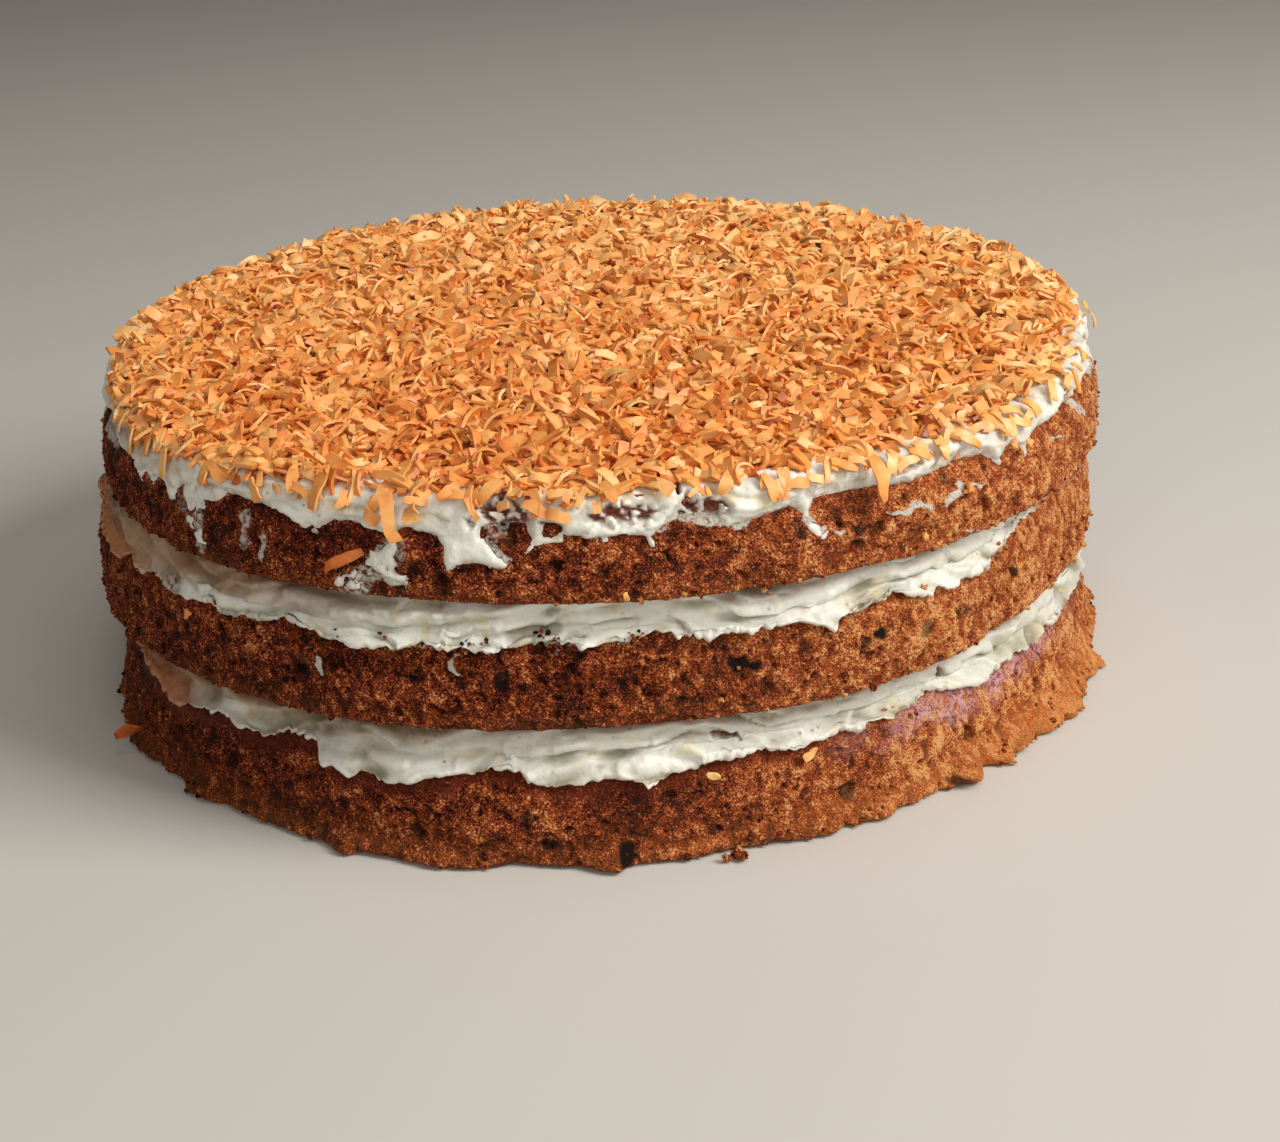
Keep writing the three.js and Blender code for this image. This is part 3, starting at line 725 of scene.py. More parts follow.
def filling(name, lower, upper, hem, knife, torn, stains, full, soaked, seed):
    top, over = lower["top"], upper["foot"]
    foot = top - FILLING_OVERLAP
    piece = slab(name + "_spread", foot, over, FILLING_COLUMNS, FILLING_ROWS, FILLING_RINGS)
    at, angle, old_reach, on_side = measured(piece)
    share = (at[:, 2] - foot) / (over - foot)

    # the profile, from inside the lip's lower edge out over the shoulder and in to the sponge above
    def below(height):
        return side_reach(lower, angle, np.clip(share_up(lower, height), 0, 1))

    flat = round_the_cake(angle, 0)
    edge = all_round(angle, hem)
    edge = edge + 0.35 * lumps(flat, 3.2, seed) + 0.3 * lumps(flat, 1.4, seed + 1)
    edge = edge + 0.3 * lumps(flat, 0.8, seed + 19)
    drop = top - edge
    left = swell(apart(angle, -130), 46)
    thick = 1.9 + 0.7 * lumps(flat, 13, seed + 2) + 0.35 * lumps(flat, 5, seed + 3)
    for middle, half, much, _ in full:
        thick = thick + much * swell(apart(angle, middle), half)
    neck = np.minimum(below(edge + 0.85 * drop) + thick, below(edge + 0.5 * drop) + thick * 0.7)
    shelf = side_reach(upper, angle, 0 * angle)
    inner = np.minimum(neck - 1.5, shelf - 1.1 + 0.9 * lumps(flat, 17, seed + 4)) - 2.2 * left
    for middle, half, _, much in full:
        inner = inner + much * swell(apart(angle, middle), half)
    level = 0 * edge
    heights = np.stack([
        edge + 1.5, edge + 0.5, edge, edge + 0.55, edge + 0.3 * drop, edge + 0.7 * drop, level + top + 0.2,
        level + top + 2, level + 0.45 * top + 0.55 * over, level + 0.2 * top + 0.8 * over, level + over + 0.1,
        level + over + 0.4,
    ])
    reaches = np.stack([
        below(edge + 1.5) - 1.2, below(edge + 0.5) - 0.1, below(edge) + 0.75 * thick,
        below(edge + 0.55) + 1.08 * thick, below(edge + 0.3 * drop) + thick, below(edge + 0.7 * drop) + thick,
        neck - 0.5, 0.62 * neck + 0.38 * inner + 0.5, 0.3 * neck + 0.7 * inner + 0.35, inner + 0.2,
        inner - 0.6, inner - 4,
    ])
    height, reach, outward, upward = follow(heights, reaches, share)

    # what the knife did to it: long sweeps, laps, ragged stains of crumb, single strokes and torn places
    where = round_the_cake(angle, height)
    wander = 5 * np.sin(np.radians(4 * angle + 60))
    lean = height - wander - 2 * np.sin(np.radians(11 * angle)) + 1.2 * lumps(where, 8, seed + 5)
    push = 1.15 * streaks(where, lean, 13, 2.6, seed + 10) + 0.5 * streaks(where, lean, 8, 1.1, seed + 6)
    push += 0.2 * streaks(where, lean, 3, 0.6, seed + 7)
    push += 0.5 * lumps(where, 5.5, seed + 8)
    folded = 0.2 + 1.1 * eased(lumps(where, 10, seed + 16), -0.4, 0.5)
    folded = folded * (1 - 0.8 * swell(apart(angle, -152), 24))
    push += 1.4 * (folds(where, lean, 3.6, 9, 0.12, seed + 15) - 0.4) * folded
    stain = np.zeros(len(at))
    ragged = angle + 1.5 * lumps(where, 5, seed + 12) + 0.9 * lumps(where, 1.6, seed + 13)
    for middle, half, much, slant in stains:
        off = np.abs(apart(ragged + slant * (0.5 * (top + over) - height), middle))
        stain = np.maximum(stain, much * eased(off, half * 1.2, half * 0.5))
    push = np.maximum(push, -1.1)
    push += stain * (0.5 * lumps(where, 1.5, seed + 17) + 0.4 * lumps(where, 0.8, seed + 18))
    strokes = list(knife)
    luck = np.random.default_rng(seed)
    for _ in range(UNSEEN_STROKES):
        start, low = luck.uniform(-28, 208), luck.uniform(edge.mean() - 1, over - 2)
        tilt = luck.uniform(-2, 4)
        end = start + luck.uniform(3, 14)
        strokes.append((start, low, end, low + tilt, luck.uniform(1, 1.8), luck.uniform(-0.6, 1.1)))
    warp = 1.1 * lumps(where, 4, seed + 9)
    for *stroke, half, lift in strokes:
        inside, _ = inside_strokes(angle + warp / MM_PER_DEGREE, height + 0.5 * warp, [(*stroke, half)])
        push = push + 1.1 * lift * eased(inside, -0.3, half)
    gap, _ = inside_strokes(angle + 0.3 * warp, height + 0.3 * warp, torn)
    push = push - 2.8 * eased(gap, -0.5, 0.4)
    push = push * (eased(share, 0.06, 0.2) * eased(share, 0.99, 0.86))
    height = np.where(on_side, height + push * upward, at[:, 2])
    reach = np.where(on_side, reach + push * outward, old_reach * FILLING_FLAT)
    reshape(piece, at, old_reach, reach, height)

    # the lip, the brown crumb and painted shade at the left, and the soaked cream with painted shade up under
    # the sponge above, for the finish
    lip = eased(share + 0.08 * lumps(where, 4, seed + 21), 0.74, 0.38)
    from_left = np.abs(apart(angle + 3 * lumps(where, 9, seed + 20), -160))
    mark(piece, dry=all_round(angle, DRY_SIDE))
    # painted shade: the hollows between the knife's laps are darker and the ridges lighter, and the lower
    # filling is darker overall than the upper
    mark(
        piece, on_side, edge=eased(share, 0.34, 0.14), stain=stain, lip=lip, torn=eased(gap, -0.35, 0.15),
        hollow=eased(push, 0.3, -1) + 0.6 * soaked,
        soak=eased(share, 0.5, 0.95) * (soaked + 0.6 * lumps(where, 7, seed + 14) + 0.9 * left),
        browned=eased(from_left, 59, 19) * (1 - lip) + eased(from_left, 26, 5) * lip,
    )
    piece.data.materials.append(cream_cheese)
    bpy.ops.object.shade_smooth()
    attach(piece, "root")
    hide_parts(name)


cream = Finish("cream_cheese")
dry = cream.marked("dry")
stain = cream.marked("stain")
# painted shade in the cream's hollows, and lighter ridges
tone = cream.mottle(0.7, 7, 3) + cream.mottle(0.3, 1.6, 3, 0.6) - (cream.marked("hollow") - 0.35) * 0.7
# painted shade: the cream is darkened on the lit right, where the key light falls
tone = tone - dry.clamped() * 0.22 + 0.67
curd = cream.noise(4.2, 1).eased(0.6, 0.7)
fleck = cream.grains(2.6).eased(0.2, 0.1) * cream.noise(6, 2).eased(0.56, 0.66)
crumbed_edge = cream.marked("edge") * cream.noise(1.3, 3).eased(0.46, 0.62)
cream_colour = cream.over(
    cream.ramp(
        tone.clamped(), (0, 152, 145, 122), (0.3, 194, 190, 172), (0.55, 214, 214, 202), (0.9, 238, 239, 230)
    ),
    (curd * 0.5, 226, 214, 168),
    (fleck * 0.6, 160, 108, 70),
    (crumbed_edge * 0.5, 168, 112, 74),
    # painted shade: the upper part of each filling, under the sponge above, and the shaded left are darker,
    # along with the soaked cream
    (cream.marked("soak").clamped() * 0.6, 158, 132, 98),
)
# painted shade: the fillings are browner at the shaded left, most up in the recess; the frosting under the
# coconut is browned as shade between the flakes
tanned = (cream.marked("browned") * 1.3 + cream.mottle(0.9, 3.4, 3, 0.6) - 0.1).clamped()
cream_colour = cream.mix(tanned * 0.8, cream_colour, paint(196, 146, 98), "MULTIPLY")
# painted shade: stains are darker up in the recess than on the lit lip
stain_colour = cream.mix(cream.marked("lip"), paint(120, 90, 62), paint(184, 108, 56))
rubbed = (stain + cream.mottle(0.9, 1.1, 3, 0.65)).eased(0.7, 0.86)
# painted light and shade: the rubbed crumb is darker on the shaded left and lighter on the lit right
rubbed_colour = cream.over(
    cream.ramp(cream.noise(0.8, 3, 0.65), (0.34, 56, 20, 10), (0.5, 118, 52, 26), (0.66, 186, 104, 58)),
    ((0.6 - dry).clamped(), 70, 30, 16),
    ((dry * 0.8 - 0.3).clamped(), 206, 126, 70),
)
cream_colour = cream.over(
    cream_colour,
    ((stain + cream.mottle(0.4, 4, 3, 0.6)).eased(0.0, 0.6) * 0.85, stain_colour),
    (rubbed, rubbed_colour),
    (cream.marked("torn"), rubbed_colour),
)
cream_cheese = cream.done(
    Base_Color=cream_colour,
    Roughness=0.24 + cream.noise(2.4, 3) * 0.25,
    Normal=cream.bump(cream.noise(1.6, 4, 0.6), 0.45, 0.7),
    Specular_IOR_Level=0.5,
    Subsurface_Weight=0.15,
    Subsurface_Radius=(1, 0.8, 0.55),
    Subsurface_Scale=0.003,
)

filling(
    "filling_lower", BOTTOM, MIDDLE, LOWER_HEM, LOWER_KNIFE, LOWER_TORN, LOWER_STAINS, LOWER_FULL,
    soaked=0.25, seed=404,
)
filling(
    "filling_upper", MIDDLE, TOP, UPPER_HEM, UPPER_KNIFE, UPPER_TORN, UPPER_STAINS, UPPER_FULL,
    soaked=-0.1, seed=505,
)

# The frosting on top: cream cheese spread over the top sponge and past its rim, where it runs down in drips
# and thin smears that the crumb shows through. Here and there the knife pulled it up into small peaks.
FROSTING_COLUMNS = 1440
FROSTING_ROWS = 58
FROSTING_RINGS = (6, 6, 8, 12, 20)
FROSTING_FLAT = 0.918
# the slab that it is worked from, the height of its lowest edge and that of its flat top
SLAB_FOOT = 57
SLAB_TOP = 80
FROSTING_FOOT = 57.6
FROSTED_HEIGHT = 76.4
# heights down the side where the frosting follows the sponge
SIDE_HEIGHTS = [FROSTING_FOOT, 60.6, 63.6, 66.6, 69.2, 71.4]
# drips and smears below that edge: angle and height at both ends, half width and thickness in mm
DRIPS = [
    (-136.4, 69, -135.2, 66.4, 1.8, 1), (-78.6, 70.6, -73.6, 73.4, 1.2, 1.3),
    (-71.2, 73, -70.6, 67.4, 0.75, 1), (-70.6, 67.4, -69.8, 65.4, 0.8, 1.1),
    (-69.8, 65.6, -68.9, 65.2, 0.6, 0.8), (-82.6, 77.2, -81.2, 76.2, 1.2, 1.1),
    (-86.2, 69.6, -85.8, 67.8, 0.6, 0.7), (-90.4, 70, -90.2, 68.6, 0.6, 0.7),
    (-42.4, 70.6, -42.2, 68.2, 0.7, 0.9), (-46.9, 71, -46.8, 69, 0.8, 1), (38, 68, 38, 62.8, 1.7, 1.6),
    (39.4, 66, 42.6, 64.4, 0.9, 0.9), (101, 68, 100.6, 62, 1.9, 1.7), (158, 68, 158.4, 63.6, 1.5, 1.4),
    (151, 68, 148, 61, 1.3, 0.9), (120, 67, 116, 64.6, 1, 0.7), (74, 66, 79, 64.6, 1, 0.7),
    (15, 67, 11, 60.6, 1.4, 0.9), (60, 68.6, 63.6, 62, 1, 0.8), (190, 68, 190.6, 63, 1.3, 1.3),
    (184, 66, 180.6, 60.4, 1.2, 0.8), (-8, 69, -9, 64, 0.9, 1), (90, 66, 88, 63, 0.7, 0.7),
    (138, 65, 140, 61, 0.8, 0.7),
]
# the broad drip, the smears to its left and the thin forked one to its right: thickness in mm, outline
POURED = [
    (0.85, [
        (-107.2, 73), (-106.8, 70.8), (-106.3, 69.4), (-105.8, 67.6), (-105.6, 65.4), (-105.2, 63),
        (-104.6, 63.9), (-103.8, 64.7), (-102.7, 65.1), (-101.3, 64.6), (-100, 63.7), (-99.3, 64.2),
        (-99.7, 65.1), (-100.7, 66.7), (-101.5, 68.4), (-102.2, 70.2), (-102.4, 71.8), (-101.6, 73.4),
        (-102.4, 76), (-107, 76.6),
    ]),
    (0.5, [
        (-110.6, 68.4), (-110.1, 66.5), (-110.6, 65), (-110.4, 63.6), (-110.9, 62.3), (-110.2, 61.4),
        (-109.3, 60.8), (-109.8, 60), (-111.2, 60.1), (-112.4, 60.3), (-113.2, 59.4), (-114.4, 58.6),
        (-113.6, 57.8), (-116, 57.4), (-117, 58.2), (-116.6, 59.8), (-115.5, 60.8), (-114.5, 62.4),
        (-113.4, 63.9), (-113.1, 65.6), (-112.1, 65.8), (-111.6, 66.8),
    ]),
    (0.4, [
        (-131.8, 72), (-131.6, 70), (-133, 68.6), (-133.2, 66.5), (-133.9, 64.6), (-133.5, 62.4),
        (-133.1, 60.4), (-134.4, 60.2), (-135.2, 62.2), (-136.3, 63.4), (-136.5, 65.6), (-135.4, 67),
        (-135.6, 69.4), (-134.6, 72),
    ]),
    (0.6, [
        (-95.2, 74), (-96, 71.6), (-96.3, 70), (-95.6, 69.4), (-94.3, 69.4), (-94.2, 68.7), (-95.8, 68.4),
        (-96.8, 67.8), (-97.3, 66.9), (-98, 66.5), (-97.4, 68.6), (-97, 70.6), (-96.8, 74),
    ]),
]
# where the crumb shows through: middle angle and height, half width in degrees, half height in mm, how much
WORN_THROUGH = [
    (-100.4, 73, 3.4, 4.4, 1.5), (-88.5, 73.2, 4.2, 2.8, 0.85), (-80.8, 72.8, 3, 2.8, 1.05),
    (-82.6, 75.8, 1, 1.7, 1.6), (-95.6, 71.4, 1.4, 1.6, 1.2), (-60, 74.4, 4, 1.6, 0.6),
    (-29, 71, 4, 4, 1.2), (-134.2, 65.4, 2.6, 4.6, 0.12), (-147, 68, 5, 4, 0.8), (-113, 60, 4, 5, 0.35),
    (26, 73.5, 6, 2, 1), (84, 72, 7, 3, 1.1), (142, 73, 8, 3, 1), (114, 72.6, 4, 2.4, 1.2),
    (170, 72, 6, 3, 1), (-14, 72.6, 5, 2.6, 1.1), (200, 72, 5, 3, 1), (54, 72.6, 5, 2, 0.9),
]
# knife peaks at the rim: angle, how far in from the rim in mm, rise in mm
PEAKS = [
    (-23, 2.5, 2.4), (-17, 2, 2.8), (-12, 3.5, 2.2), (-7, 2, 2.6), (0, 3, 2), (-127, 3, 1.2),
    (-145, 2.6, 1.6), (14, 3, 2.2), (33, 2, 2.4), (57, 3.4, 1.8), (76, 2.4, 2.6), (98, 3, 2),
    (119, 2.2, 2.3), (143, 3, 2), (171, 2.4, 2.4),
]


def inside_outline(angle, height, corners):
    """How far inside a drawn outline each point lies, in mm; below 0 outside it."""
    first = corners[0][0]
    across = mm_apart(angle, first)
    nearest = np.full(len(angle), 99.0)
    inside = np.zeros(len(angle), bool)
    for (a1, z1), (a2, z2) in zip(corners, corners[1:] + corners[:1]):
        x1, x2 = mm_apart(a1, first), mm_apart(a2, first)
        wide, tall = x2 - x1, z2 - z1 + 1e-6
        share = np.clip(((across - x1) * wide + (height - z1) * tall) / (wide * wide + tall * tall), 0, 1)
        nearest = np.minimum(nearest, np.hypot(across - x1 - share * wide, height - z1 - share * tall))
        inside ^= ((z1 > height) != (z2 > height)) & (across < x1 + (height - z1) * wide / tall)
    return np.where(inside, nearest, -nearest)


def coat(thick, inside, brim):
    """A coat's thickness, rounded off over brim mm from its edge; below 0 there is none."""
    return thick * np.sqrt(1 - (1 - np.clip(inside / brim, 0, 1)) ** 2) + np.where(inside < 0, inside, 0)


def frosting_thickness(angle, height, where, seed):
    """How far the frosting stands off the top sponge's side in mm, its body, and how torn it is."""
    warp = 0.7 * lumps(where, 2.4, seed), 0.6 * lumps(where, 1.1, seed + 1)
    loose_angle = angle + (warp[0] + 0.4 * warp[1]) / MM_PER_DEGREE
    loose_height = height + 0.6 * warp[1] + 0.3 * warp[0] + 0.35 * lumps(where, 0.8, seed + 8)
    edge = all_round(loose_angle, DRIP_EDGE)
    thickness = coat(0.95 + 0.45 * lumps(where, 9, seed + 2), loose_height - edge, 1.6)
    body = eased(thickness, 0.3, 0.9)
    inside, deep = inside_strokes(loose_angle, loose_height, DRIPS)
    thickness = np.maximum(thickness, coat(0.45 * deep, inside, 1.1))
    calm_angle = angle + 0.35 * warp[0] / MM_PER_DEGREE
    calm_height = height + 0.3 * warp[1]
    for thick, corners in POURED:
        thickness = np.maximum(thickness, coat(thick, inside_outline(calm_angle, calm_height, corners), 1.3))
    worn = np.zeros(len(angle))
    for middle, level, wide, high, much in WORN_THROUGH:
        off = np.hypot(apart(loose_angle, middle) / wide, (loose_height - level) / high)
        worn = np.maximum(worn, much * eased(off, 1.1, 0.6))
    holes = eased(lumps(where, 1.3, seed + 4) + 0.7 * lumps(where, 0.75, seed + 5), -0.3, 0.4)
    worn *= (0.4 + 1.5 * holes) * eased(height, 77.4, 75.4)
    return thickness - worn, body, eased(worn, 0.8, 1.4) * eased(height, 71.6, 72.8)


def frosting_top():
    piece = slab("frosting_top_spread", SLAB_FOOT, SLAB_TOP, FROSTING_COLUMNS, FROSTING_ROWS, FROSTING_RINGS)
    at, angle, old_reach, on_side = measured(piece)
    share = (at[:, 2] - SLAB_FOOT) / (SLAB_TOP - SLAB_FOOT)
    lid = at[:, 2] > 70

    # the profile, up the sponge's side, round the rim and in over its top
    rim = outline(TOP, angle)
    flat = round_the_cake(angle, 0)
    round_off = 0.5 * lumps(flat, 12, 611)
    heights = np.stack([level + 0 * angle for level in SIDE_HEIGHTS] + [
        73.2 + 0 * angle, 74.8 + 0.4 * round_off, 75.9 + 0.5 * round_off, FROSTED_HEIGHT + 0.5 * round_off
    ])
    reaches = np.stack([side_reach(TOP, angle, share_up(TOP, level)) for level in SIDE_HEIGHTS[:-1]] + [
        rim - 2.6, rim - 3.2, rim - 4.1, rim - 5.8 - round_off, rim - 8.6 - round_off
    ])
    height, reach, outward, upward = follow(heights, reaches, share)

    # how thickly it lies on the side, with the knife's laps and streaks, and rougher over the rim
    where = round_the_cake(angle, height)
    push, body, torn = frosting_thickness(angle, height, where, seed=606)
    lean = height - 5 * np.sin(np.radians(4 * angle + 60)) + 1.2 * lumps(where, 8, 626)
    ridges = 0.6 * folds(where, lean, 3.2, 7, 0.16, 627) + 0.35 * streaks(where, lean, 8, 1.3, 620) - 0.2
    push = push + (ridges * body + 0.15 * lumps(where, 1.6, 628)) * eased(push, 0.1, 0.6)
    over_rim = eased(height, 73.5, 75.6)
    rough = 0.4 * lumps(where, 3.4, 621) + 0.4 * lumps(where, 7, 622) + 0.2 * lumps(where, 1.4, 625)
    push = push + over_rim * rough
    push = np.maximum(push, -2.2) + torn * (0.5 * lumps(where, 1.3, 629) + 0.35 * lumps(where, 0.7, 630))
    height = height + push * upward
    reach = reach + push * outward
    flat_at = np.stack([at[:, 0], at[:, 1], 0 * angle], 1)
    flat_height = FROSTED_HEIGHT + 0.5 * round_off
    flat_height = flat_height + 0.5 * lumps(flat_at, 9, 623) + 0.3 * lumps(flat_at, 4, 624)
    reach = np.where(on_side, reach, np.minimum(old_reach * FROSTING_FLAT, rim - 9.6))
    height = np.where(on_side, height, np.where(lid, flat_height, FROSTING_FOOT))
    for middle, inward, lift in PEAKS:
        off = np.hypot(mm_apart(angle, middle), reach - rim + inward + 1)
        height = height + np.where(height > 72, lift * np.exp(-off / 0.9), 0)
    reshape(piece, at, old_reach, reach, height)

    # the frosting under the coconut is painted brown and orange as shade and warm light between the flakes,
    # and the rim at the left is browner
    glow = 0.55 * swell(apart(angle, -150), 22) * eased(height, 68, 74)
    under_flakes = lid & ~on_side
    mark(piece, browned=np.where(on_side, glow, under_flakes), dry=all_round(angle, DRY_SIDE))
    # painted shade and warm light: the frosting under the flakes takes the orange stain colour
    mark(piece, under_flakes, stain=0.42, lip=1)
    # painted shade in the hollows between the frosting's laps
    hollow = 0.6 * eased(ridges, 0.1, -0.5) * body
    mark(piece, on_side, edge=0.6 * eased(push, 0.9, 0.1), hollow=hollow, torn=torn)
    piece.data.materials.append(cream_cheese)
    bpy.ops.object.shade_smooth()
    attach(piece, "root")
    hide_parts("frosting_top")


frosting_top()

# The toasted coconut: thousands of shaved flakes strewn over the frosting, golden to deep orange, curled by
# the oven. They settle on each other in the order that they fall, so a grid keeps how high the bed is.
CELL = 0.6
BED_CELLS = 410
# the grid's height outside the cake's rim
OFF_THE_CAKE = 66
# kind: how many, stations along it, length, width, thickness in mm, bend in degrees, how far it tips
FLAKE_KINDS = {
    "coconut_fines": (3600, 2, (1.6, 3.4), (0.7, 1.4), (0.4, 0.7), (0, 0), 35),
    "coconut_chips": (7600, 3, (2.8, 6), (1.5, 3.1), (0.45, 0.75), (-25, 50), 34),
    "coconut_strips": (4100, 5, (4.8, 9.2), (1.4, 3), (0.45, 0.75), (-35, 65), 32),
    "coconut_curls": (480, 11, (6, 11), (1.3, 2.6), (0.4, 0.65), (90, 220), 45),
}
# the order that they are strewn in: kind, and the share of its number
HANDFULS = [
    ("coconut_fines", 0.4), ("coconut_chips", 0.45), ("coconut_strips", 0.4), ("coconut_curls", 0.2),
    ("coconut_chips", 0.3), ("coconut_strips", 0.4), ("coconut_curls", 0.5), ("coconut_fines", 0.35),
    ("coconut_chips", 0.25), ("coconut_strips", 0.2), ("coconut_curls", 0.3), ("coconut_fines", 0.25),
]
# flakes hung over the rim: angle, height of its middle, length, width, lean in degrees from hanging straight
RIM_FLAKES = [
    (-63.4, 74.4, 9.5, 3, 8), (-118.4, 76.2, 7.5, 3, -8), (-110.4, 73.4, 9.6, 2.9, 14),
    (-112, 75.6, 5.6, 2, -24), (-108.3, 74.4, 3.5, 3.3, 4), (-96.4, 75.4, 5.6, 2.4, 60),
    (-94.4, 74.4, 4.4, 2.2, 70), (-125.6, 74.8, 5.2, 2, 40), (-74.4, 76.2, 6, 2.2, 12),
    (-73, 76.4, 6.4, 2.2, -18), (-58, 76.4, 5.4, 2, 65), (-51.6, 76.4, 6, 2.2, 40),
    (-132.6, 75.4, 5, 2.2, 30), (-139.5, 74.6, 6, 2, 10), (-84.6, 78, 5, 2.6, 50),
    (-69.6, 76.4, 4.4, 1.8, 70), (-46, 72.8, 2.6, 1.8, 50), (-43.4, 71.6, 2.4, 1.6, 60),
    (-112.2, 73.2, 3.2, 2.6, 60), (-147.6, 74.6, 6, 2.2, -20), (-78.6, 77.4, 5, 2.4, -30),
    (-89.6, 77.8, 5.4, 2.6, 20), (-101, 78.2, 6, 2.6, -35), (-66.6, 77.6, 5, 2.2, 75),
    (-40.6, 76.8, 5, 2.2, 30), (-35, 77, 4.6, 2, -40), (-121.6, 77.2, 5, 2.4, 15),
    (-144, 76, 5.4, 2.4, 25),
]
# how many more hang there, all the way round
LOOSE_RIM_FLAKES = 170


def coconut_reach(angle):
    """How far out the coconut was strewn: short of the rim in front, on the right and on the left."""
    short = 4.4
    for middle, half, more in ((-75, 75, 2.6), (-14, 40, 2.6), (180, 45, 2.4)):
        short += more * float(swell(apart(angle, middle), half))
    return float(outline(TOP, np.array([angle]))[0]) - short


class Bed:
    """The height of the flakes as they pile up, on a grid over the cake's top."""

    def __init__(self):
        side = (np.arange(BED_CELLS) + 0.5 - BED_CELLS / 2) * CELL
        x, y = np.meshgrid(side, side, indexing="ij")
        reach = np.hypot(x, y).ravel()
        rim = outline(TOP, np.degrees(np.arctan2(y, x)).ravel())
        fall = np.clip(reach - (rim - 7), 0, None)
        flat = np.stack([x.ravel(), y.ravel(), 0 * reach], 1)
        height = FROSTED_HEIGHT - 0.07 * fall ** 2 + 1.1 * lumps(flat, 14, 706) + 1.1 * lumps(flat, 7, 705)
        self.height = np.where(reach > rim + 2, OFF_THE_CAKE, height).reshape(BED_CELLS, BED_CELLS)

    def under(self, x, y):
        return tuple(np.clip((at / CELL + BED_CELLS / 2).astype(int), 0, BED_CELLS - 1) for at in (x, y))


def strewn(bed, kind, count, luck):
    """Drops flakes of one kind one by one; each takes the lower of two places. Returns a row for each."""
    _, _, lengths, widths, thicknesses, bends, tip = FLAKE_KINDS[kind]
    steps = np.linspace(-0.45, 0.45, 7)
    flakes = []
    while len(flakes) < count:
        length = luck.uniform(*lengths)
        width = luck.uniform(*widths)
        thick = luck.uniform(*thicknesses)
        lowest = None
        for _ in range(2):
            angle = luck.uniform(-180, 180)
            limit = coconut_reach(angle) + luck.normal(0, 1.2)
            reach = limit * math.sqrt(luck.uniform(0, 1))
            heading = luck.uniform(0, 2 * math.pi)
            x, y = reach * math.cos(math.radians(angle)), reach * math.sin(math.radians(angle))
            line_x = x + steps * length * math.cos(heading)
            line_y = y + steps * length * math.sin(heading)
            floor = bed.height[bed.under(line_x, line_y)]
            slope = np.clip((floor[4:].mean() - floor[:3].mean()) / (0.55 * length), -0.9, 0.9)
            base = np.percentile(floor - slope * steps * length, 80)
            if lowest is None or base < lowest[0]:
                lowest = (base, x, y, heading, slope, line_x, line_y)
        base, x, y, heading, slope, line_x, line_y = lowest
        for off in (-0.3, 0, 0.3):
            across_x, across_y = off * width * math.sin(heading), off * width * math.cos(heading)
            cell = bed.under(line_x - across_x, line_y + across_y)
            bed.height[cell] = np.maximum(bed.height[cell], base + slope * steps * length + 0.75 * thick)
        pitch = math.atan(slope) + math.radians(luck.normal(0, tip * 0.7))
        bank = math.radians(luck.normal(0, tip))
        bend = math.radians(luck.uniform(*bends))
        z = base + thick * 0.5 + 0.2 * width * abs(math.sin(bank))
        twist, toast, lean = luck.normal(0, 0.3), luck.uniform(0, 1), 0
        flakes.append((x, y, z, heading, pitch, bank, length, width, thick, bend, twist, toast, lean))
    return np.array(flakes, float)


def hung(angle, height, reach, droop, tip, length, width, thick, bend, twist, toast, lean):
    """A row for one flake that hangs down the cake's side; the angles are in degrees."""
    x, y = (reach * f(math.radians(angle)) for f in (math.cos, math.sin))
    turn, pitch, bank, bend, lean = (math.radians(v) for v in (angle, -droop, tip, bend, lean))
    return x, y, height, turn, pitch, bank, length, width, thick, bend, twist, toast, lean


def meshed(name, at, faces):
    """Many small closed shapes as one mesh: the vertices of each in mm, and the faces of one or of each."""
    count, corners, _ = at.shape
    every = np.array(faces) + (np.arange(count) * corners)[:, None, None]
    mesh = bpy.data.meshes.new(name)
    mesh.from_pydata(at.reshape(-1, 3) * MM, [], every.reshape(-1, every.shape[-1]))
    mesh.update()
    piece = bpy.data.objects.new(name, mesh)
    bpy.context.collection.objects.link(piece)
    return piece


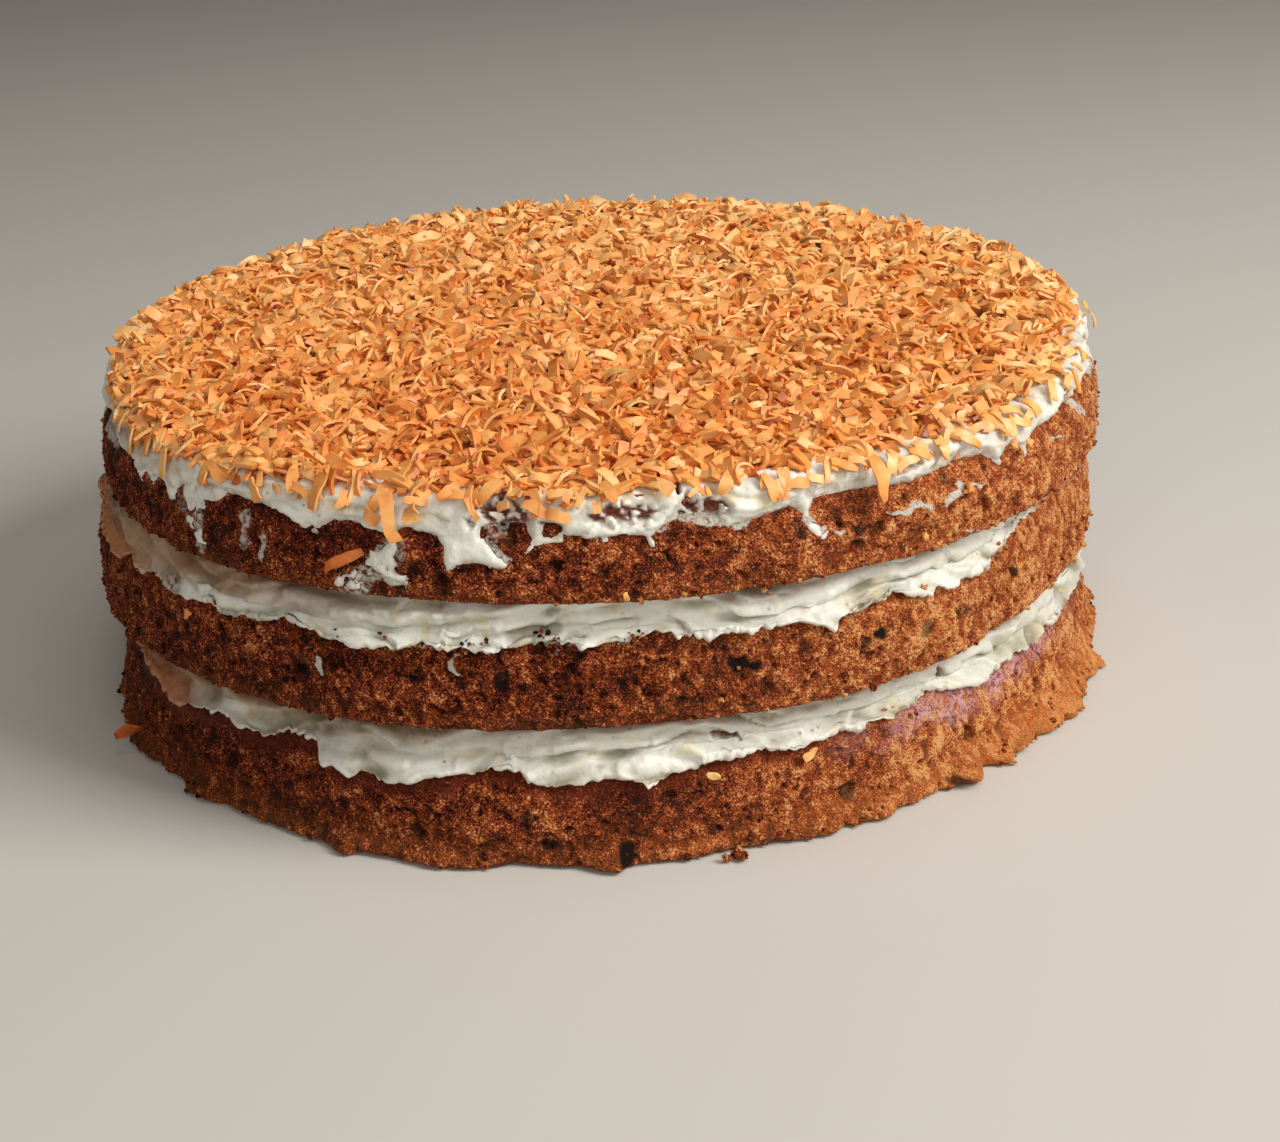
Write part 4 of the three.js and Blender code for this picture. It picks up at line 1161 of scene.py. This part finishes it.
def shaved(name, stations, flakes, seed):
    """All the flakes of one kind as one mesh of thin closed strips."""
    count = len(flakes)
    luck = np.random.default_rng(seed)
    x, y, z, heading, pitch, bank, length, width, thick, bend, twist, toast, lean = flakes.T
    bend = np.where(np.abs(bend) < 0.02, 0.02, bend)

    # the line that each strip follows, bent and swayed, and the strip's width and thickness along it
    along_it = np.linspace(-0.5, 0.5, stations)
    turn = along_it[None, :] * bend[:, None]
    radius = (length / bend)[:, None]
    at_end = np.cos(bend / 2)[:, None]
    centre = np.stack([radius * np.sin(turn), 0 * turn, radius * (np.cos(turn) - at_end)], 2)
    centre[:, :, 2] -= 0.35 * (np.abs(bend) > 1.8)[:, None] * radius * (1 - at_end)
    sway = luck.normal(0, 0.06, count) * length
    centre[:, :, 1] += sway[:, None] * (4 * along_it ** 2 - 0.5)[None, :]
    up = np.stack([np.sin(turn), 0 * turn, np.cos(turn)], 2)
    ahead = np.stack([np.cos(turn), 0 * turn, -np.sin(turn)], 2)
    roll = twist[:, None] * 2 * along_it[None, :]
    level = np.array([0.0, 1.0, 0.0])
    side = level * np.cos(roll)[:, :, None] + up * np.sin(roll)[:, :, None]
    face = np.cross(ahead, side)
    narrow = 1 - luck.uniform(0, 1, (count, 1)) ** 2 * 0.6 * np.abs(2 * along_it[None, :]) ** 2.5
    half = 0.5 * width[:, None] * narrow * luck.uniform(0.84, 1.08, (count, stations))
    skew = luck.normal(0, 0.33 / stations, (count, stations)) * width[:, None]
    corners = []
    for across, lift in ((-1, 1), (1, 1), (1, -1), (-1, -1)):
        offset = side * (across * half + skew)[:, :, None] + face * (0.5 * lift * thick)[:, None, None]
        corners.append(centre + offset)
    local = np.stack(corners, 2).reshape(count, -1, 3)

    # leant in its own plane, then tilted and turned, and set down in its place
    cl, sl = np.cos(lean)[:, None], np.sin(lean)[:, None]
    long, wide, high = (local[:, :, axis] for axis in range(3))
    local = np.stack([cl * long - sl * wide, sl * long + cl * wide, high], 2)
    ch, sh, cp, sp, cb, sb = (f(a) for a in (heading, pitch, bank) for f in (np.cos, np.sin))
    tilt = np.zeros((count, 3, 3))
    tilt[:, 0] = np.stack([ch * cp, -ch * sp * sb - sh * cb, -ch * sp * cb + sh * sb], 1)
    tilt[:, 1] = np.stack([sh * cp, -sh * sp * sb + ch * cb, -sh * sp * cb - ch * sb], 1)
    tilt[:, 2] = np.stack([sp, cp * sb, cp * cb], 1)
    at = np.einsum("nij,nkj->nki", tilt, local) + np.stack([x, y, z], 1)[:, None, :]

    faces = [(0, 1, 2, 3)]
    for station in range(stations - 1):
        a, b = 4 * station, 4 * station + 4
        faces += [(a + k, b + k, b + (k + 1) % 4, a + (k + 1) % 4) for k in range(4)]
    last = 4 * (stations - 1)
    faces.append((last + 3, last + 2, last + 1, last))
    piece = meshed(name, at, faces)
    tip = np.tile(np.repeat(np.abs(2 * along_it) ** 3, 4), count)
    mark(piece, toast=np.repeat(toast, 4 * stations), tip=tip)
    bpy.ops.object.select_all(action="DESELECT")
    bpy.context.view_layer.objects.active = piece
    piece.select_set(True)
    if stations > 2:
        bpy.ops.object.shade_smooth_by_angle(angle=math.radians(50))
    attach(piece, "root")
    return piece


coconut = Finish("toasted_coconut")
patch = coconut.mottle(0.3, 1.6, 2) + coconut.mottle(0.75, 8, 3)
done = coconut.marked("toast") * 0.9 + patch + coconut.marked("tip") * 0.14 + 0.16
flake_colour = coconut.ramp(
    done.clamped(), (0, 250, 223, 167), (0.25, 248, 192, 121), (0.5, 238, 160, 82), (0.75, 210, 112, 44),
    (1, 150, 58, 18),
)
toasted_coconut = coconut.done(
    Base_Color=flake_colour,
    Roughness=0.3 + coconut.noise(0.8, 2) * 0.2,
    Normal=coconut.bump(coconut.noise(0.6, 3, 0.6), 0.08, 0.5),
    Specular_IOR_Level=0.5,
    Subsurface_Weight=0.2,
    Subsurface_Radius=(1, 0.75, 0.5),
    Subsurface_Scale=0.0006,
)

luck = np.random.default_rng(707)
bed = Bed()
heap = {kind: [] for kind in FLAKE_KINDS}
for kind, part in HANDFULS:
    heap[kind].append(strewn(bed, kind, int(FLAKE_KINDS[kind][0] * part), luck))
loose = [
    tuple(luck.uniform(*limits) for limits in ((-180, 180), (75.4, 78), (2, 6), (1, 2.4), (-90, 90)))
    for _ in range(LOOSE_RIM_FLAKES)
]
at_the_rim = []
for middle, level, length, width, lean in RIM_FLAKES + loose:
    rim = float(outline(TOP, np.array([middle]))[0])
    over = np.interp(level, [60, 73, 75, 79], [0.9, 0.2, -1.2, -5])
    over -= 2 * float(swell(apart(middle, -175), 40))
    droop = np.interp(level, [60, 73, 76, 79], [86, 80, 58, 25])
    at_the_rim.append(hung(
        middle, level, rim + over, droop, luck.normal(0, 14), length, width, 0.45, luck.uniform(5, 60),
        luck.normal(0, 0.35), luck.uniform(0.2, 0.75), lean,
    ))
heap["coconut_strips"].append(np.array(at_the_rim, float))
for kind, parts in heap.items():
    rows = np.concatenate(parts)
    x, y, z, toast = rows[:, 0], rows[:, 1], rows[:, 2], rows[:, 11]
    # the flakes down in the bed are painted darker as shade, and so are those in front and on the left, away
    # from the light; the rim's are paler
    deep = np.clip(bed.height[bed.under(x, y)] - z - 0.6, 0, 3)
    toast[:] = 0.3 * toast + 0.085 + 0.36 * deep - 0.001 * y - 0.0003 * x
    toast -= 0.1 * eased(np.hypot(x, y), 96, 108)
    flakes = shaved(kind, FLAKE_KINDS[kind][1], rows, seed=808)
    flakes.data.materials.append(toasted_coconut)
    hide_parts("frosting_top")

# Crumbs and chips that came loose as the layers were trimmed and carried: crumbs cling to every cut edge and
# lip, a few lie at the foot, and single coconut chips stuck to the sides on their way down.
CRUMBS_PER_SPONGE = 900
# crumbs close together: angle, height, spread in mm, how many, stand-off in mm, share of dark ones
CRUMB_CLUSTERS = [
    (-75.4, 57.4, 1.3, 10, 0.9, 0), (-87.5, 47.4, 1.3, 14, 1.6, 0), (-77.4, 45.8, 0.9, 7, 0.9, 0),
    (-52.4, 66.4, 1, 6, 0.7, 0), (-66.8, 29.4, 0.8, 4, 0.6, 0), (-67.5, 42.5, 1.8, 10, 0.5, 0),
    (-82.6, 75.6, 0.9, 8, 0.6, 0.2), (-79, 0.9, 1, 26, 2.6, 0.1), (-78.5, 0.6, 0.8, 22, 4, 0.15),
    (-80.2, 0.6, 0.7, 5, 3.6, 0), (-109, 47.2, 1.6, 9, 1, 0), (-102, 46.8, 1.4, 8, 1, 0),
    (-117, 46.6, 1.4, 8, 1, 0), (-57, 47, 1.4, 8, 1, 0), (-44, 46.6, 2, 12, 0.8, 0),
    (-97, 49.4, 1.6, 6, 1.2, 0.3), (-104, 47.4, 2, 14, 1.4, 0.3), (-95, 47.4, 2, 12, 1.4, 0.5),
    (-112, 46.6, 2, 12, 1, 0), (-88, 48, 1.6, 10, 1.6, 0.3), (44, 20, 2, 10, 1.2, 0),
    (96, 47, 2, 10, 1.2, 0), (140, 20, 2, 10, 1.2, 0), (10, 47, 2, 10, 1, 0), (-160, 47, 2, 12, 1, 0),
]
# coconut stuck to the sides: angle, height, length, width, turn from upright, stand-off in mm, droop and
# tip in degrees, how toasted
STUCK_FLAKES = [
    (-115.3, 64.4, 8.4, 2.3, -64, 1.8, 82, -14, 0.55), (-80.5, 16.2, 2.7, 1.4, 74, 1.4, 82, 14, 0.14),
    (-70, 16.6, 3.6, 1.8, -72, 1.5, 82, -16, 0.14), (-58.3, 60.4, 1.4, 1, 20, 0.7, 82, 10, 0.2),
    (-52.2, 67, 2.6, 1.6, 30, 1, 82, -12, 0.4), (-109.3, 46.8, 1.8, 1, 40, 1, 82, 9, 0.4),
    (-152.6, 4.6, 7, 3.4, 4, 3.8, 4, 66, 0.62), (-88.6, 58.4, 1.6, 1, 10, 0.8, 82, 0, 0.3),
    (33, 62, 4, 1.6, 50, 1, 82, 8, 0.3), (71, 40, 3.4, 1.8, 70, 1, 82, -8, 0.4),
    (115, 14, 4.4, 1.8, 30, 1.2, 82, 5, 0.3), (149, 61, 5, 2.2, 55, 1, 82, 12, 0.5),
    (160, 36, 3, 1.6, 15, 1, 82, 0, 0.3), (-137, 43.4, 2.2, 1.5, -50, 0.8, 82, 8, 0.3),
]


def clinging_crumbs(luck):
    """Small torn lumps of crumb on the sides, gathered at the cut edges and in the named clusters."""
    bpy.ops.object.select_all(action="DESELECT")
    bpy.ops.mesh.primitive_ico_sphere_add(subdivisions=1, radius=1)
    pattern = bpy.context.object
    ball = vertices_of(pattern) * MM
    sides = np.array([tuple(face.vertices) for face in pattern.data.polygons])
    bpy.data.objects.remove(pattern)
    rows = []
    for layer in (BOTTOM, MIDDLE, TOP):
        count = CRUMBS_PER_SPONGE
        angle = luck.uniform(-180, 180, count)
        share = np.where(luck.uniform(size=count) < 0.7, luck.beta(1, 7, count), luck.uniform(0, 0.82, count))
        height = layer["foot"] + share * (layer["top"] - layer["foot"])
        out, _ = crumb_relief(round_the_cake(angle, height), layer["seed"])
        size = np.clip(luck.lognormal(-0.85, 0.35, count), 0.2, 0.9)
        reach = side_reach(layer, angle, share) + out + 0.15 * size
        rows.append(np.stack([angle, height, reach, size, luck.uniform(0.25, 0.8, count), 0 * angle], 1))
    for middle, level, spread, many, off, dark in CRUMB_CLUSTERS:
        layer = layer_at(level)
        angle = middle + luck.normal(0, 0.5, many) * spread / MM_PER_DEGREE
        height = np.abs(level + luck.normal(0, 0.5, many) * spread)
        share = np.clip(share_up(layer, height), 0, 0.8)
        reach = side_reach(layer, angle, share) + off + luck.normal(0, 0.3, many)
        black = (luck.uniform(size=many) < dark) * 0.95
        size = luck.uniform(0.22, 0.62, many) * (1.5 if level < 2 else 1)
        rows.append(np.stack([angle, height, reach, size, luck.uniform(0.3, 0.9, many), black], 1))
    angle, height, reach, size, light, black = np.concatenate(rows).T

    # each crumb is a ball pulled out of shape and turned at random; where that mirrors it, its faces turn too
    count, corners = len(angle), len(ball)
    spin, _ = np.linalg.qr(luck.normal(size=(count, 3, 3)))
    torn = ball[None] * luck.uniform(0.6, 1.4, (count, corners, 1)) * luck.uniform(0.55, 1.3, (count, 1, 3))
    at = np.einsum("nij,nkj->nki", spin, torn) * size[:, None, None]
    at += round_the_cake(angle, height, reach)[:, None, :]
    at[:, :, 2] = np.maximum(at[:, :, 2], 0.02)
    mirrored = (np.linalg.det(spin) < 0)[:, None, None]
    piece = meshed("clinging_crumbs", at, np.where(mirrored, sides[None, :, ::-1], sides[None]))
    # painted light and shade by side, as on the sponges
    dry = np.repeat(all_round(angle, DRY_SIDE), corners)
    mark(piece, relief=np.repeat(light, corners), dark_bit=np.repeat(black, corners), dry=dry)
    piece.data.materials.append(carrot_crumb)
    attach(piece, "root")


clinging_crumbs(np.random.default_rng(909))
stuck = []
for middle, level, length, width, lean, off, droop, tip, toasted in STUCK_FLAKES:
    layer = layer_at(level)
    reach = float(side_reach(layer, np.array([middle]), np.array([share_up(layer, level)]))[0]) + off
    bend = luck.uniform(15, 55)
    stuck.append(hung(middle, level, reach, droop, tip, length, width, 0.6, bend, 0.8, toasted, lean))
stuck_flakes = shaved("stuck_flakes", 7, np.array(stuck, float), seed=818)
stuck_flakes.data.materials.append(toasted_coconut)

# The studio: a plain pale floor just under the cake's flat foot, one large soft light from the front right
# and above, a weaker one from the front, one from overhead, and a little light from all round. Lengths are in
# metres here.
FLOOR_RADIUS = 3
FLOOR_DROP = 0.0006
# name, azimuth and elevation in degrees, distance, size, power, colour
LAMPS = [
    ("key_light", -28, 38, 1.3, 0.6, 15.5, (255, 251, 245)),
    ("fill_light", -96, 30, 1.6, 0.9, 6.2, (255, 246, 236)),
    ("top_light", -50, 78, 1.4, 0.8, 4.6, (255, 250, 242)),
]
# how high above the floor they are aimed
LAMP_AIM = 0.05
# the camera's focal length in the image's own pixels, its place, and how it is turned in degrees
IMAGE_WIDTH = 1280
FOCAL_PIXELS = 2150
SENSOR_WIDTH = 36
CAMERA_PLACE = (0, -0.4841, 0.2211)
CAMERA_YAW = 0.89
CAMERA_PITCH = 23.24
CAMERA_ROLL = -2.53

bpy.ops.object.select_all(action="DESELECT")
below_the_cake = (0, 0, -FLOOR_DROP)
bpy.ops.mesh.primitive_circle_add(vertices=96, radius=FLOOR_RADIUS, fill_type="NGON", location=below_the_cake)
floor = bpy.context.object
floor.name = "studio_floor"
floor.data.materials.append(Finish("pale_floor").done(Base_Color=paint(205, 202, 196), Roughness=0.9))

world = bpy.data.worlds.new("studio_air")
bpy.context.scene.world = world
world.use_nodes = True
air = world.node_tree.nodes["Background"].inputs
air["Color"].default_value = paint(224, 219, 210)
air["Strength"].default_value = 0.1

for name, azimuth, elevation, distance, size, power, colour in LAMPS:
    turn, up = math.radians(azimuth), math.radians(elevation)
    place = distance * np.array([math.cos(turn) * math.cos(up), math.sin(turn) * math.cos(up), math.sin(up)])
    bpy.ops.object.light_add(type="AREA", location=place + (0, 0, LAMP_AIM))
    light = bpy.context.object
    light.name = name
    light.data.size = size
    light.data.energy = power
    light.data.color = paint(*colour)[:3]
    light.rotation_euler = (math.pi / 2 - up, 0, turn + math.pi / 2)

camera_data = bpy.data.cameras.new("camera")
camera_data.lens = FOCAL_PIXELS / IMAGE_WIDTH * SENSOR_WIDTH
camera_data.sensor_width = SENSOR_WIDTH
camera_data.clip_start = 0.01
camera = bpy.data.objects.new("camera", camera_data)
bpy.context.scene.collection.objects.link(camera)
yaw, pitch, roll = (math.radians(v) for v in (CAMERA_YAW, CAMERA_PITCH, CAMERA_ROLL))
ahead = np.array([math.sin(yaw) * math.cos(pitch), math.cos(yaw) * math.cos(pitch), -math.sin(pitch)])
level_right = np.array([math.cos(yaw), -math.sin(yaw), 0])
level_up = np.cross(level_right, ahead)
right = level_right * math.cos(roll) + level_up * math.sin(roll)
upward = level_up * math.cos(roll) - level_right * math.sin(roll)
pose = Matrix.Identity(4)
for row in range(3):
    pose[row][:3] = right[row], upward[row], -ahead[row]
pose.translation = CAMERA_PLACE
camera.matrix_world = pose
bpy.context.scene.camera = camera
bpy.context.scene.view_settings.view_transform = "Standard"
